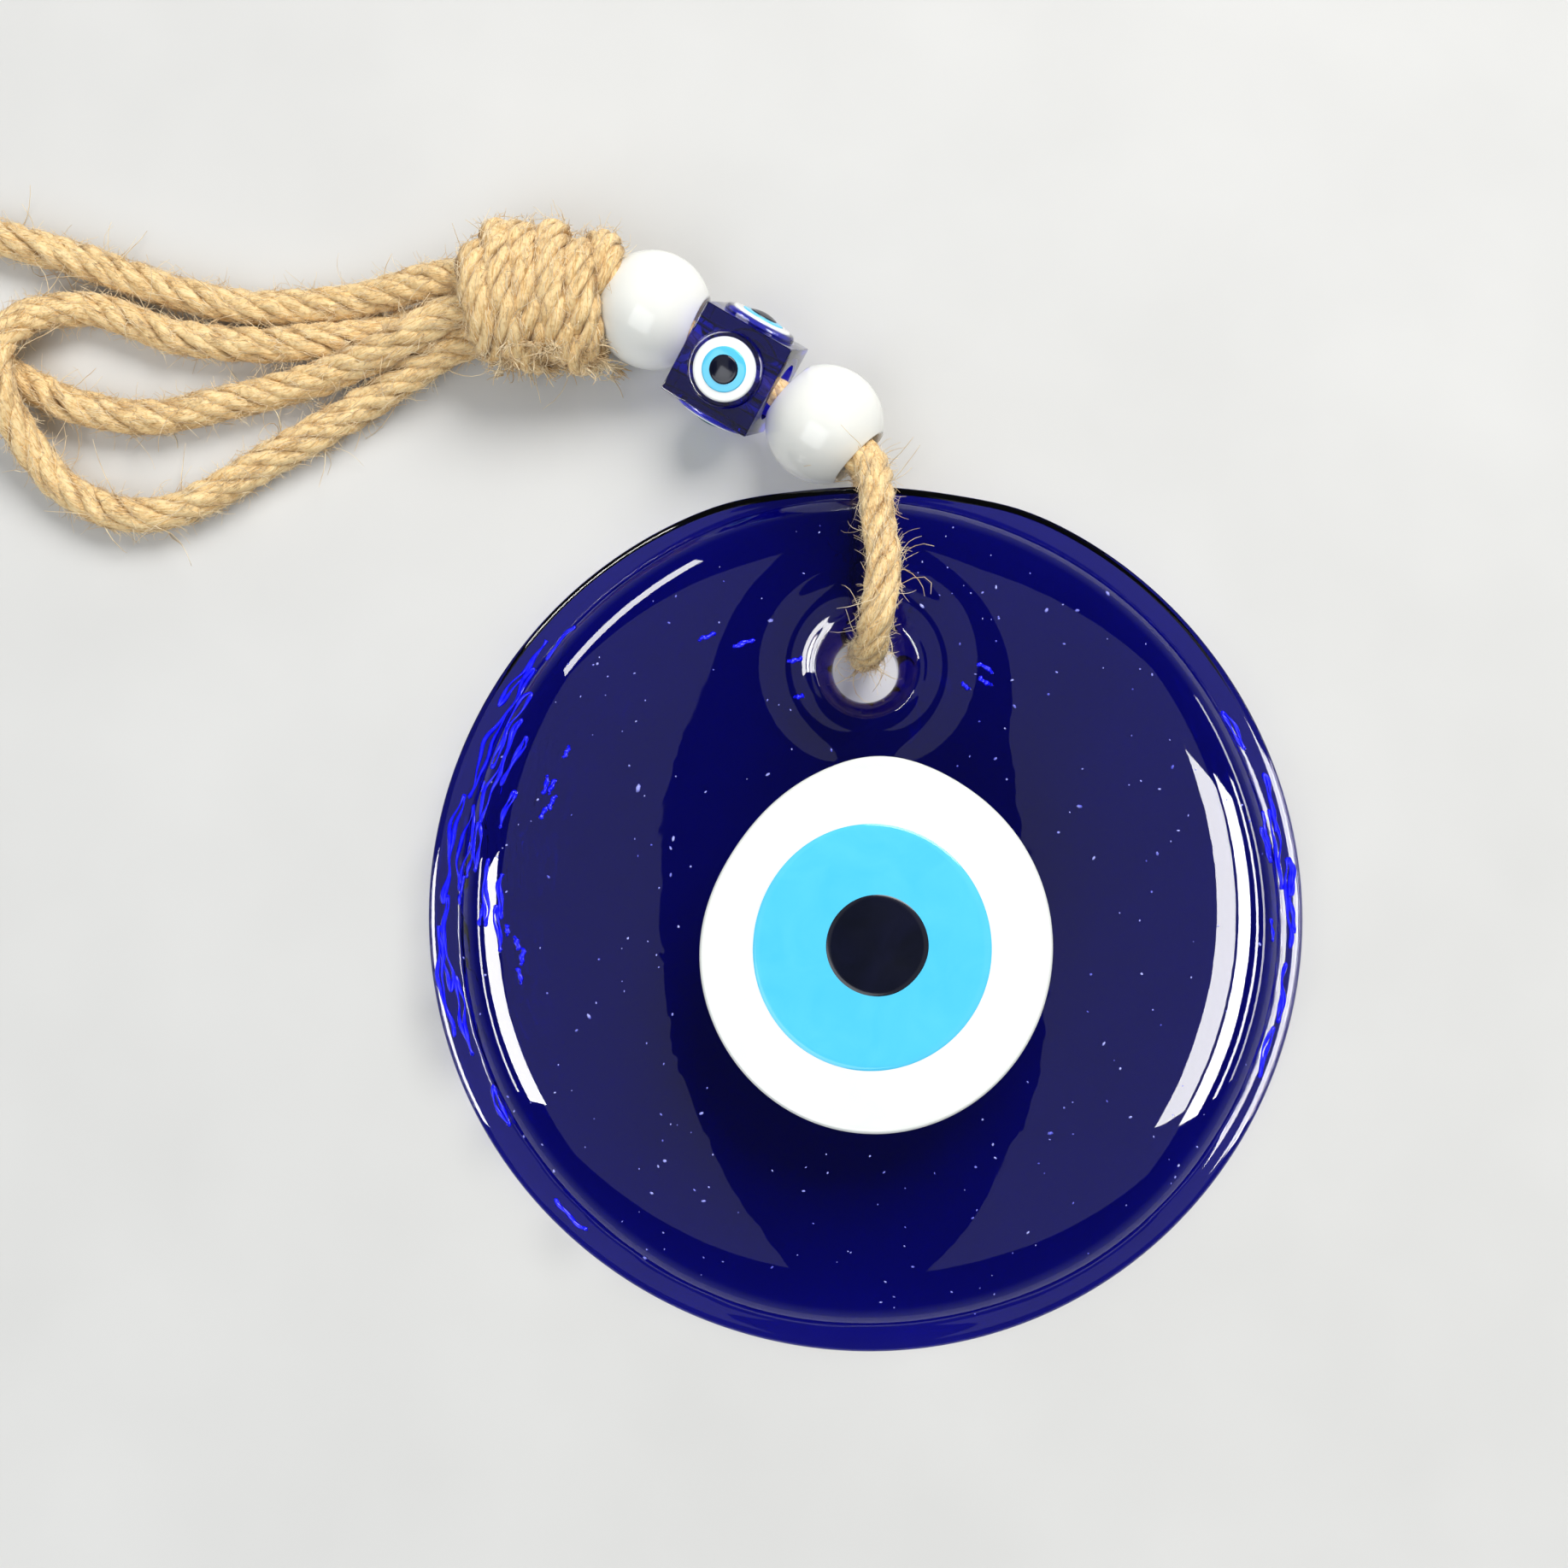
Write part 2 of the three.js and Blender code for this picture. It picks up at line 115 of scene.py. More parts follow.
# ---- Camera, floor and lights ----
LENS_IN_SENSORS = 1.362  # focal length over the sensor's side
CAMERA_TILT = math.radians(6)  # off straight down, from the disc's far side
CAMERA_DEPTH = 0.245  # from the lens to the disc, along the line of sight
DISC_IN_VIEW = (0.0520, -0.0847)  # the disc's middle, right of and above the view's, in view sides
SENSOR = 36
WARM_WHITE = (1, 0.99, 0.97)


def add_camera():
    forward = Vector((0, math.sin(CAMERA_TILT), -math.cos(CAMERA_TILT)))
    right = Vector((1, 0, 0))
    up = right.cross(forward)
    across = right * DISC_IN_VIEW[0] + up * DISC_IN_VIEW[1]
    target = Vector((DISC.translation.x, DISC.translation.y, 6 * MM))
    place = target - CAMERA_DEPTH * (forward + across / LENS_IN_SENSORS)
    data = bpy.data.cameras.new("camera")
    data.sensor_width = SENSOR
    data.lens = SENSOR * LENS_IN_SENSORS
    data.clip_start = 0.01
    camera = show("camera", data)
    camera.matrix_world = Matrix.LocRotScale(place, forward.to_track_quat("-Z", "Y"), None)
    bpy.context.scene.camera = camera


def add_light(name, place, target, size, radiance, color=(1, 1, 1), only=None, shape="RECTANGLE"):
    """A soft panel, as wide and high as size, and as bright as radiance.

    only: the collection that it lights, which alone casts its shadows. Without a target it faces straight down.
    """
    data = bpy.data.lights.new(name, "AREA")
    data.shape = shape
    data.size, data.size_y = size
    data.energy = radiance * math.pi * size[0] * size[1]
    data.color = color
    light = show(name, data)
    light.location = place
    if target is not None:
        aim = Vector(target) - Vector(place)
        light.matrix_world = Matrix.LocRotScale(Vector(place), aim.to_track_quat("-Z", "Y"), None)
    if only is not None:
        light.light_linking.receiver_collection = only
        light.light_linking.blocker_collection = only


def around(azimuth, elevation, distance):
    """A place at these angles, in degrees, and this distance from the row's middle."""
    turn, rise = math.radians(azimuth), math.radians(elevation)
    level = distance * math.cos(rise)
    return (level * math.cos(turn), level * math.sin(turn), distance * math.sin(rise))


WINDOWS = (  # [name, azimuth, elevation, width, height, radiance] of each light seen only in the glass
    ("right_window", -9, 52, 0.50, 0.13, 19),
    ("right_window_pane", -9, 41, 0.56, 0.13, 27),
    ("right_window_sill", -6, 29, 0.60, 0.04, 22),
    ("right_window_foot", 2, 19, 0.8, 0.05, 10),
    ("left_window", 196, 40, 0.42, 0.17, 24),
    ("left_window_sill", 193, 26, 0.46, 0.04, 18),
    ("far_window", 130, 38, 0.32, 0.09, 17),
)
WINDOW_DISTANCE = 0.8


def add_studio(gloss, matte, cube):
    scene = bpy.context.scene
    scene.view_settings.view_transform = "Standard"
    world = bpy.data.worlds.new("studio")
    world.use_nodes = True
    nodes = world.node_tree.nodes
    view = nodes.new("ShaderNodeTexCoord").outputs["Generated"]
    height = wire(nodes.new("ShaderNodeSeparateXYZ"), Vector=view).outputs["Z"]
    room = ramp(nodes, height, (0.02, (0.42, 0.44, 0.46)), (0.34, (0.063, 0.066, 0.07)))
    wire(nodes["Background"], Color=room, Strength=1.0)
    scene.world = world
    middle = (0, 0, 0)
    for name, azimuth, elevation, width, height, radiance in WINDOWS:
        place = around(azimuth, elevation, WINDOW_DISTANCE)
        add_light(name, place, middle, (width, height), radiance, WARM_WHITE, gloss)
    add_light("cube_window", around(149, 42, 0.6), middle, (0.4, 0.5), 9, WARM_WHITE, cube)
    add_light("ceiling_left", (-0.46, -0.1, 0.95), None, (0.72, 1.4), 0.42)
    add_light("ceiling_right", (0.50, -0.1, 0.95), None, (0.72, 1.4), 0.42)
    add_light("key", around(62, 48, 0.95), middle, (0.66, 0.56), 8.0, (1, 0.985, 0.96), matte, "ELLIPSE")
    add_light("fill", around(235, 50, 1.0), middle, (0.8, 0.8), 2.6, (0.95, 0.98, 1.0), matte)


def floor_material():
    material, nodes, shader = new_material("pale_floor")
    mottle = ramp(nodes, noise(nodes, 30, 3), (0.3, (0.62, 0.62, 0.61)), (0.7, (0.66, 0.66, 0.65)))
    wire(shader, Base_Color=mottle, Roughness=0.75)
    return material


def add_floor():
    size = 3.0
    corners = [(-size, -size, 0), (size, -size, 0), (size, size, 0), (-size, size, 0)]
    mesh = bpy.data.meshes.new("floor")
    mesh.from_pydata(corners, [], [(0, 1, 2, 3)])
    mesh.materials.append(floor_material())
    floor = show("floor", mesh)
    return floor


# ---- Node helpers ----
def new_material(name):
    """A new material with its nodes and its own shader."""
    material = bpy.data.materials.new(name)
    material.use_nodes = True
    nodes = material.node_tree.nodes
    return material, nodes, nodes["Principled BSDF"]


def plug(socket, value):
    """Links another node's output to a socket, or sets the socket's own value."""
    if isinstance(value, bpy.types.NodeSocket):
        socket.id_data.links.new(value, socket)
    else:
        socket.default_value = value


def wire(node, **inputs):
    """Plugs inputs by name, with an underscore for each space."""
    for name, value in inputs.items():
        plug(node.inputs[name.replace("_", " ")], value)
    return node


def noise(nodes, scale, detail=2, vector=None, distortion=0.0):
    if vector is None:
        vector = nodes.new("ShaderNodeTexCoord").outputs["Object"]
    node = nodes.new("ShaderNodeTexNoise")
    return wire(node, Scale=scale, Detail=detail, Distortion=distortion, Vector=vector).outputs["Fac"]


def ramp(nodes, value, *stops):
    """A colour ramp: stops are (place, colour), or (place, grey)."""
    node = nodes.new("ShaderNodeValToRGB")
    while len(node.color_ramp.elements) < len(stops):
        node.color_ramp.elements.new(0.5)
    for element, (at, color) in zip(node.color_ramp.elements, stops):
        element.position = at
        element.color = (*(color if isinstance(color, tuple) else (color,) * 3), 1)
    return wire(node, Fac=value).outputs["Color"]


def mix_color(nodes, factor, a, b, blend="MIX"):
    node = nodes.new("ShaderNodeMix")
    node.data_type = "RGBA"
    node.blend_type = blend
    wire(node, Factor=factor)
    plug(node.inputs[6], a)  # the two colour sockets, whose names other sockets share
    plug(node.inputs[7], b)
    return node.outputs[2]


def combine(nodes, operation, a, b):
    node = nodes.new("ShaderNodeMath")
    node.operation = operation
    plug(node.inputs[0], a)
    plug(node.inputs[1], b)
    return node.outputs[0]


def bump(nodes, height, distance, strength, shader):
    node = wire(nodes.new("ShaderNodeBump"), Distance=distance, Strength=strength, Height=height)
    wire(shader, Normal=node.outputs["Normal"])


# ---- Materials ----
GLASS_IOR = 1.5


def tinted_glass(name, tint, absorption_color, density, seed_scale, ripple):
    """Clear coloured glass: its colour comes from how far light travels in it."""
    material, nodes, shader = new_material(name)
    deeper = tuple(0.9 * c for c in tint)
    wire(shader, IOR=GLASS_IOR, Transmission_Weight=1.0,
         Base_Color=ramp(nodes, noise(nodes, seed_scale), (0.35, deeper), (0.65, tint)),
         Roughness=ramp(nodes, noise(nodes, 90, 4), (0.45, 0.0), (0.8, 0.05)))
    bump(nodes, noise(nodes, 140, distortion=0.4), ripple, 0.5, shader)
    absorb = wire(nodes.new("ShaderNodeVolumeAbsorption"), Color=(*absorption_color, 1), Density=density)
    wire(nodes["Material Output"], Volume=absorb.outputs[0])
    return material


def opaque_glass(name, stops, roughness=0.04, subsurface=0.0, grain=160):
    """Opaque poured glass with faint cords of colour, tiny pits and a fire-polished skin."""
    material, nodes, shader = new_material(name)
    smudge = noise(nodes, 120, 4)
    wire(shader, IOR=GLASS_IOR, Subsurface_Weight=subsurface, Subsurface_Scale=1.0,
         Subsurface_Radius=(1.2 * MM, 1.3 * MM, 1.4 * MM),
         Base_Color=ramp(nodes, noise(nodes, grain, 3, distortion=1.2), *stops),
         Roughness=ramp(nodes, smudge, (0.4, roughness), (0.8, roughness + 0.07)))
    bump(nodes, noise(nodes, 220), 0.02 * MM, 0.4, shader)
    return material


def jute_material():
    """Straw-coloured bast fibre: streaks along each ply, painted shade where plies meet and between the knot's
    turns, and a dull sheen.
    """
    material, nodes, shader = new_material("jute_fibre")
    space = nodes.new("ShaderNodeAttribute")
    space.attribute_name = "fibre_space"
    space = space.outputs["Vector"]
    # painted shade: this attribute holds how much shade to paint where plies meet and between the knot's turns
    depth = nodes.new("ShaderNodeAttribute")
    depth.attribute_name = "groove_shade"
    apart = wire(nodes.new("ShaderNodeSeparateXYZ"), Vector=space)
    slewed = nodes.new("ShaderNodeVectorRotate")
    slewed.rotation_type = "Z_AXIS"
    wire(slewed, Vector=space, Angle=combine(nodes, "MULTIPLY", apart.outputs["Z"], FIBRE_SLEW))
    along = combine(nodes, "MULTIPLY", noise(nodes, 5.0, 4, space), 0.6)
    crossing = combine(nodes, "MULTIPLY", noise(nodes, 6.0, 3, slewed.outputs["Vector"]), 0.4)
    fibre = combine(nodes, "ADD", along, crossing)
    body = ramp(nodes, fibre, (0.38, (0.70, 0.44, 0.18)), (0.45, (0.98, 0.69, 0.33)), (0.54, (1.0, 0.79, 0.44)))
    patches = ramp(nodes, noise(nodes, 2.2, 2, space), (0.3, (0.88, 0.84, 0.78)), (0.7, 1.0))
    specks = ramp(nodes, noise(nodes, 1500, 3), (0.36, (0.82, 0.76, 0.68)), (0.52, 1.0))
    for tone in (patches, specks):
        body = mix_color(nodes, 1.0, body, tone, "MULTIPLY")
    broken = ramp(nodes, noise(nodes, 420), (0.40, 0.25), (0.58, 1.0))
    # painted shade: a dark brown mixed in by that amount, broken up by noise
    shadow = combine(nodes, "MULTIPLY", combine(nodes, "MULTIPLY", depth.outputs["Fac"], broken), 0.80)
    wire(shader, Base_Color=mix_color(nodes, shadow, body, (0.26, 0.135, 0.045, 1)), Roughness=0.62,
         Specular_IOR_Level=0.35, Sheen_Weight=0.25, Sheen_Roughness=0.4)
    bump(nodes, fibre, 0.22 * MM, 0.9, shader)
    return material


def hair_material():
    material, nodes, shader = new_material("jute_hair")
    tone = ramp(nodes, noise(nodes, 400), (0.35, (0.62, 0.42, 0.20)), (0.62, (1.0, 0.84, 0.56)))
    wire(shader, Base_Color=tone, Roughness=0.5, Sheen_Weight=0.2)
    return material


# ---- Mesh helpers ----
def show(name, data):
    """Puts a mesh, a light or a camera in the scene."""
    obj = bpy.data.objects.new(name, data)
    bpy.context.scene.collection.objects.link(obj)
    return obj


def smoothed(mesh, material):
    mesh.polygons.foreach_set("use_smooth", [True] * len(mesh.polygons))
    mesh.materials.append(material)
    return mesh


def mesh_of(name, work):
    """A mesh from a bmesh, which is freed."""
    mesh = bpy.data.meshes.new(name)
    work.to_mesh(mesh)
    work.free()
    return mesh


def add_object(name, vertices, faces, material):
    """vertices are in metres in the row frame."""
    mesh = bpy.data.meshes.new(name)
    mesh.from_pydata([tuple(v) for v in vertices], [], faces)
    mesh.validate()
    smoothed(mesh, material)
    mesh.update()
    return show(name, mesh)


def shifted(faces, base):
    return [tuple(base + i for i in face) for face in faces]


def grid_faces(rows, columns, wrap_rows=False):
    """Quads of a grid whose columns close on themselves."""
    faces = []
    for i in range(rows if wrap_rows else rows - 1):
        for j in range(columns):
            here, ahead, beside = i * columns, ((i + 1) % rows) * columns, (j + 1) % columns
            faces.append((here + j, here + beside, ahead + beside, ahead + j))
    return faces


def transform(matrix, points_mm):
    """Points in mm in a piece's own frame, to metres in the row frame."""
    rotation = np.array(matrix.to_3x3())
    return (np.asarray(points_mm) * MM) @ rotation.T + np.array(matrix.translation)


def lathe_points(profile, segments):
    """Rings about Z, from [radius, height] pairs."""
    angles = np.arange(segments) * TAU / segments
    rings = [np.stack([r * np.cos(angles), r * np.sin(angles), np.full(segments, z)], 1)
             for r, z in profile]
    return np.concatenate(rings)


def recalculated(obj):
    """Turns all faces outward."""
    work = bmesh.new()
    work.from_mesh(obj.data)
    bmesh.ops.remove_doubles(work, verts=work.verts, dist=1e-7)
    bmesh.ops.recalc_face_normals(work, faces=work.faces)
    work.to_mesh(obj.data)
    work.free()
    return obj


# ---- The pressed glass disc, in mm in its own frame ----
DISC_TOP = 9.2
FLANGE_HEIGHT = 4.0
CREASE_RADIUS = 47.0  # where the dome meets the flange
COLLAR_RADIUS = 12.0
COLLAR_RISE = 0.3
LIP_RADIUS = 9.0
THROAT_RADIUS = 3.75
FUNNEL_DEPTH = 5.0
BACK_FLARE_RADIUS = 5.6  # of the hole at the back
BACK_FLARE_HEIGHT = 2.2
BACK_HEIGHT = 0.12
RIM_ROUND = 0.25
WRINKLE_DEPTH = 0.55
SEEDS = 260
BEAD_SIDE, BEAD_SIDE_WIDTH = math.radians(88.5), math.radians(16.5)  # of the rim that passes bead and bight
BEAD_RELIEF = 0.85


def waves(angle, terms):
    """A smooth closed wobble: terms are (cycles, size, phase)."""
    return sum(size * np.cos(cycles * angle + phase) for cycles, size, phase in terms)


def rim_radius(angle):
    wobble = waves(angle, [(1, 0.8, -1.57), (2, 0.10, 0.4), (3, 0.07, 1.9), (5, 0.04, 0.3)])
    beside_bead = BEAD_RELIEF * np.exp(-(((angle % TAU - BEAD_SIDE) / BEAD_SIDE_WIDTH) ** 4))
    return DISC_RADIUS + 0.3 + wobble - beside_bead


def crease_radius(angle):
    wobble = waves(angle, [(1, 0.9, -1.3), (2, 0.30, 2.2), (3, 0.25, 0.9), (7, 0.08, 0.5)])
    return CREASE_RADIUS + wobble


def ripple(x, y, size, terms):
    """Gentle pressed unevenness: terms are (x cycles, y cycles, phase) over the disc's width."""
    total = np.zeros_like(x)
    for across, along, phase in terms:
        total += np.sin((x * across + y * along) * TAU / (2 * DISC_RADIUS) + phase)
    return size * total


def top_height(x, y):
    """Height of the disc's front without its hole."""
    radius = np.hypot(x, y)
    angle = np.arctan2(y, x)
    crease = crease_radius(angle)
    inside = np.clip(radius / crease, 0, 1)
    dome = FLANGE_HEIGHT + (DISC_TOP - FLANGE_HEIGHT) * (1 - inside**6.5) ** 0.56
    beyond = np.clip((radius - crease) / np.maximum(rim_radius(angle) - crease, 0.2), 0, 1)
    flange = FLANGE_HEIGHT - 0.35 * np.sin(beyond * math.pi) * (1 - beyond) - 0.9 * beyond**3
    height = np.where(radius < crease, dome, flange)
    height += ripple(x, y, 0.035, [(1.3, 0.6, 0.2), (-0.7, 1.8, 1.1), (2.3, -1.1, 2.0), (0.4, 2.9, 0.7)])
    return height + collar_height(x, y)


def collar_height(x, y):
    """The raised ring round the hole, with the shallow valley outside it."""
    away = np.hypot(x - HOLE.x, y - HOLE.y)
    across = np.clip((away - LIP_RADIUS) / (COLLAR_RADIUS - LIP_RADIUS), 0, 1)
    ring = COLLAR_RISE * (1 - across**1.9) ** 1.5
    valley = -0.12 * np.exp(-(((away - 12.6) / 2.4) ** 2))
    return ring + valley


def under_height(x, y):
    """Chill marks on the pressed back: fine wrinkles that run with the rim, deepest at the left and right."""
    radius = np.hypot(x, y)
    angle = np.arctan2(y, x)
    near_rim = np.clip((radius - 31) / 8, 0, 1) ** 2 * np.clip((49.5 - radius) / 3, 0, 1)
    left = np.exp(-(((np.abs(angle) - math.pi + 0.15) / 0.62) ** 2)) * np.where(y > -22, 1, 0.3)
    right = 0.7 * np.exp(-(((angle - 0.05) / 0.4) ** 2)) * np.clip((radius - 41) / 4, 0, 1)
    phase = radius * 4.3 + 2.4 * np.sin(angle * 9) + 1.7 * np.sin(angle * 23 + 1) + np.sin(angle * 51 + 2)
    wrinkle = (0.5 + 0.5 * np.sin(phase)) ** 2
    from_hole = np.hypot(x - HOLE.x, y - HOLE.y)
    turn = np.arctan2(y - HOLE.y, x - HOLE.x)
    pleat = np.clip((11 - from_hole) / 3, 0, 1) * (0.5 + 0.5 * np.sin(turn * 7 + from_hole * 1.7)) ** 2
    broad = 0.35 * pleat + ripple(x, y, 0.02, [(3.1, 1.2, 0.3), (-2.2, 4.3, 1.0), (5.3, -2.8, 2.4)])
    return 0.08 + near_rim * (0.10 + WRINKLE_DEPTH * (left + right)) * wrinkle + np.abs(broad)


def glass_disc_rings():
    """Closed rings of [x, y, z] from the throat, over the front, round the rim and back inside."""
    segments = 320
    angle = np.arange(segments) * TAU / segments
    cosine, sine = np.cos(angle), np.sin(angle)
    rings = []

    rim = rim_radius(angle)
    lip = top_height(HOLE.x + LIP_RADIUS * cosine, HOLE.y + LIP_RADIUS * sine)

    def add_ring(x, y, height):
        rings.append(np.stack([x, y, np.broadcast_to(height, x.shape)], 1))

    def hole_ring(radius, height):
        add_ring(HOLE.x + radius * cosine, HOLE.y + radius * sine, height)

    def sheet_ring(share, surface, inner):
        radius = inner + (rim - RIM_ROUND - inner) * share
        x = HOLE.x * (1 - share) + radius * cosine
        y = HOLE.y * (1 - share) + radius * sine
        add_ring(x, y, surface(x, y))

    for height in np.linspace(2.2, 4.2, 6):
        hole_ring(THROAT_RADIUS, height)
    for step in np.linspace(0, 1, 40)[:-1]:
        bend = math.radians(90 * step)
        radius = LIP_RADIUS - (LIP_RADIUS - THROAT_RADIUS) * math.cos(bend)
        ridge = 0.14 * math.exp(-(((radius - 5.8) / 0.45) ** 2))
        hole_ring(radius, lip + (ridge - (1 - math.sin(bend)) * FUNNEL_DEPTH))
    for share in np.linspace(0, 1, 190) ** 0.92:
        sheet_ring(share, top_height, LIP_RADIUS)
    edge = top_height(rim * cosine, rim * sine)
    for step in np.linspace(0, 1, 16)[1:-1]:
        bend = math.radians(-90 + 180 * step)
        radius = rim - RIM_ROUND + RIM_ROUND * math.cos(bend) - 0.9 * max(0, step - 0.55) ** 2 / 0.2
        add_ring(radius * cosine, radius * sine, edge * (1 - step) ** 1.2 + BACK_HEIGHT * step)
    for share in np.linspace(1, 0, 130)[1:]:
        sheet_ring(share * 0.985, under_height, BACK_FLARE_RADIUS)
    for step in np.linspace(0, 1, 10)[1:-1]:
        bend = math.radians(90 * step)
        hole_ring(BACK_FLARE_RADIUS - (BACK_FLARE_RADIUS - THROAT_RADIUS) * math.sin(bend),
                  BACK_HEIGHT + BACK_FLARE_HEIGHT * (1 - math.cos(bend)))
    return rings


def make_disc(material):
    rings = glass_disc_rings()
    points = transform(DISC, np.concatenate(rings))
    faces = grid_faces(len(rings), len(rings[0]), wrap_rows=True)
    disc = recalculated(add_object("disc_glass", points, faces, material))
    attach(disc, "disc")
    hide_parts("glass_disc")


def top_point(x, y, depth):
    """A point this far under the disc's front, in the row frame."""
    height = float(top_height(np.array([x]), np.array([y]))[0]) - depth
    return DISC @ (Vector((x, y, height)) * MM)


# A flat colour for marks in the glass that stand in for light: painted glints and caustics.
def glint_material(name, dim, bright):
    material, nodes, shader = new_material(name)
    wire(shader, Base_Color=ramp(nodes, noise(nodes, 900, 1), (0.35, dim), (0.65, bright)), Roughness=0.2)
    return material


def make_seeds():
    """Tiny bubbles that the pressing brought to the disc's front."""
    rng = np.random.default_rng(7)
    work = bmesh.new()
    places = []
    while len(places) < SEEDS:
        radius, turn = 46.5 * math.sqrt(rng.uniform()), rng.uniform(0, TAU)
        x, y = radius * math.cos(turn), radius * math.sin(turn)
        on_eye = math.hypot(x - EYE_MIDDLE[0], y - EYE_MIDDLE[1]) < 22
        in_hole = math.hypot(x - HOLE.x, y - HOLE.y) < 8
        if not on_eye and not in_hole:
            places.append((x, y))
    for x, y in places:
        size = rng.gamma(2.0, 0.025) + 0.06
        stretch = Matrix.Diagonal((1, rng.uniform(1, 2.2), 0.8, 1))
        turned = Matrix.Rotation(rng.uniform(0, TAU), 4, "Z")
        matrix = Matrix.Translation(top_point(x, y, size * 0.25)) @ turned @ stretch
        bmesh.ops.create_icosphere(work, subdivisions=1, radius=size * MM, matrix=matrix)
    # painted glint: opaque pale blue specks whose brightness stands in for light caught in the bubbles
    material = glint_material("seed_glint", (0.10, 0.11, 0.7), (0.45, 0.48, 1.0))
    seeds = show("disc_seeds", smoothed(mesh_of("disc_seeds", work), material))
    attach(seeds, "disc")


PAINTED_CAUSTICS = (  # [azimuth from, to, radius, half width] of each long thin loop of painted caustic light, in degrees and mm
    (143, 163, 47.6, 0.55), (146, 158, 46.2, 0.7), (150, 166, 45.2, 0.5), (152, 160, 43.9, 0.45),
    (163, 178, 48.3, 0.4), (164, 176, 46.6, 0.75), (166, 173, 45, 0.4), (160, 166, 42.6, 0.35),
    (171, 181, 43.2, 0.3), (173, 180, 41.4, 0.2), (177, 190, 48.2, 0.45), (181, 196, 49, 0.3),
    (178, 185, 41.6, 0.3), (188, 199, 47.4, 0.35), (156, 158.5, 38.4, 0.16), (158.5, 161, 37.6, 0.16),
    (160.5, 163, 38.2, 0.14), (183, 185, 39.6, 0.12), (185, 187.5, 39, 0.14), (188, 190.5, 39.8, 0.12),
    (-4, 8, 48.6, 0.35), (4, 15, 47.9, 0.4), (12, 20, 48.5, 0.3), (-14, -6, 48.4, 0.3), (24, 30, 47.5, 0.3),
    (112, 116, 34, 0.14), (204, 210, 46.8, 0.3), (222, 228, 47.6, 0.3), (63, 66.5, 31.2, 0.12),
    (62, 65, 30, 0.12), (66, 68, 28.6, 0.1), (104, 107, 30.4, 0.1), (106, 108, 26.4, 0.1),
    (118, 121, 36.5, 0.12), (135, 141, 47.2, 0.4), (139, 150, 48.6, 0.35), (8, 13, 46.4, 0.3),
    (-22, -15, 48.2, 0.3), (-2, 3, 49, 0.15), (3, 8, 49.1, 0.12), (10, 15, 46.9, 0.14), (-3, 0, 45.9, 0.12),
    (156, 159, 39.4, 0.1), (150, 152, 38.6, 0.1), (181, 182.5, 40.4, 0.1), (170, 174, 45.6, 0.12),
    (174, 178, 46.4, 0.12), (178, 181, 43.6, 0.1),
)


def make_painted_caustics():
    """Painted caustic light: saturated blue threads just under the front, along the rim, standing in for light
    bent through the glass.
    """
    vertices, faces = [], []
    for seed, (start, end, radius, half_width) in enumerate(PAINTED_CAUSTICS, 1):
        rng = np.random.default_rng(seed)
        count = max(24, int((end - start) * 5))
        share = np.arange(count) / count * TAU
        angle = np.radians((start + end) / 2 + (end - start) / 2 * np.cos(share))
        pinch = half_width * (0.55 + 0.45 * np.sin(27 * angle + rng.uniform(0, TAU)))
        wander = 0.22 * np.sin(angle * 31 + rng.uniform(0, TAU))
        wander = wander + 0.09 * np.sin(angle * 77 + rng.uniform(0, TAU))
        reach = np.minimum(radius + np.sin(share) * pinch + wander, rim_radius(angle) - 0.35)
        line = np.array([tuple(top_point(r * math.cos(a), r * math.sin(a), 0.02))
                         for r, a in zip(reach, angle)])
        flow = normalized(np.roll(line, -1, 0) - np.roll(line, 1, 0))
        side = normalized(np.cross(flow, (0, 0, 1)))
        other = np.cross(side, flow)
        thick = (0.20 + 0.09 * np.sin(share * 5 + seed))[:, None] * MM
        corners = [line + thick * (math.cos(t) * side + math.sin(t) * other)
                   for t in np.arange(6) * TAU / 6]
        faces += shifted(grid_faces(count, 6, wrap_rows=True), sum(len(v) for v in vertices))
        vertices.append(np.stack(corners, 1).reshape(-1, 3))
    # painted caustic light: a flat saturated blue
    material = glint_material("painted_caustic_glint", (0.0, 0.0, 0.9), (0.01, 0.012, 1.0))
    caustic_threads = add_object("disc_painted_caustics", np.concatenate(vertices), faces, material)
    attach(caustic_threads, "disc")


# ---- The big eye, in mm in the disc's frame ----
EYE_MIDDLE = (0.9, -3.2)


def drop_radius(angle, base, terms, bumps=()):
    """A poured drop's outline: terms wobble it, and bumps are (angle, width, size)."""
    radius = base + waves(angle, terms)
    for at, width, size in bumps:
        apart = np.angle(np.exp(1j * (angle - at)))
        radius = radius + size * np.exp(-((apart / width) ** 2))
    return radius


def make_drop(name, node, material, centre, outline, sink, rise, dome):
    """A fused drop lying on the disc's front: a soft shoulder at its edge and a low dome.

    outline is what drop_radius takes after the angle, and sink is how far the drop reaches into the disc.
    """
    segments = 256
    angle = np.arange(segments) * TAU / segments
    edge = drop_radius(angle, *outline)
    rings = []

    def add_ring(radius, lift, floor=None):
        x, y = centre[0] + radius * np.cos(angle), centre[1] + radius * np.sin(angle)
        under = top_height(x, y) if floor is None else np.full(segments, floor)
        rings.append(np.stack([x, y, under + lift], 1))

    for share in np.concatenate([[0.001, 0.003, 0.01], np.linspace(0.02, 1, 44) ** 0.8]):
        shoulder = np.clip((edge - edge * share) / 0.9, 0, 1)
        add_ring(edge * share, rise * np.sqrt(1 - (1 - shoulder) ** 2) + dome * (1 - share**2))
    for fall in np.linspace(0, 1, 6)[1:]:
        add_ring(edge * (1 - 0.02 * fall), -sink * fall)
    add_ring(0.001, -sink, DISC_TOP)
    points = transform(DISC, np.concatenate(rings))
    drop = recalculated(add_object(name, points, grid_faces(len(rings), segments, wrap_rows=True), material))
    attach(drop, "disc")
    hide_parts(node)


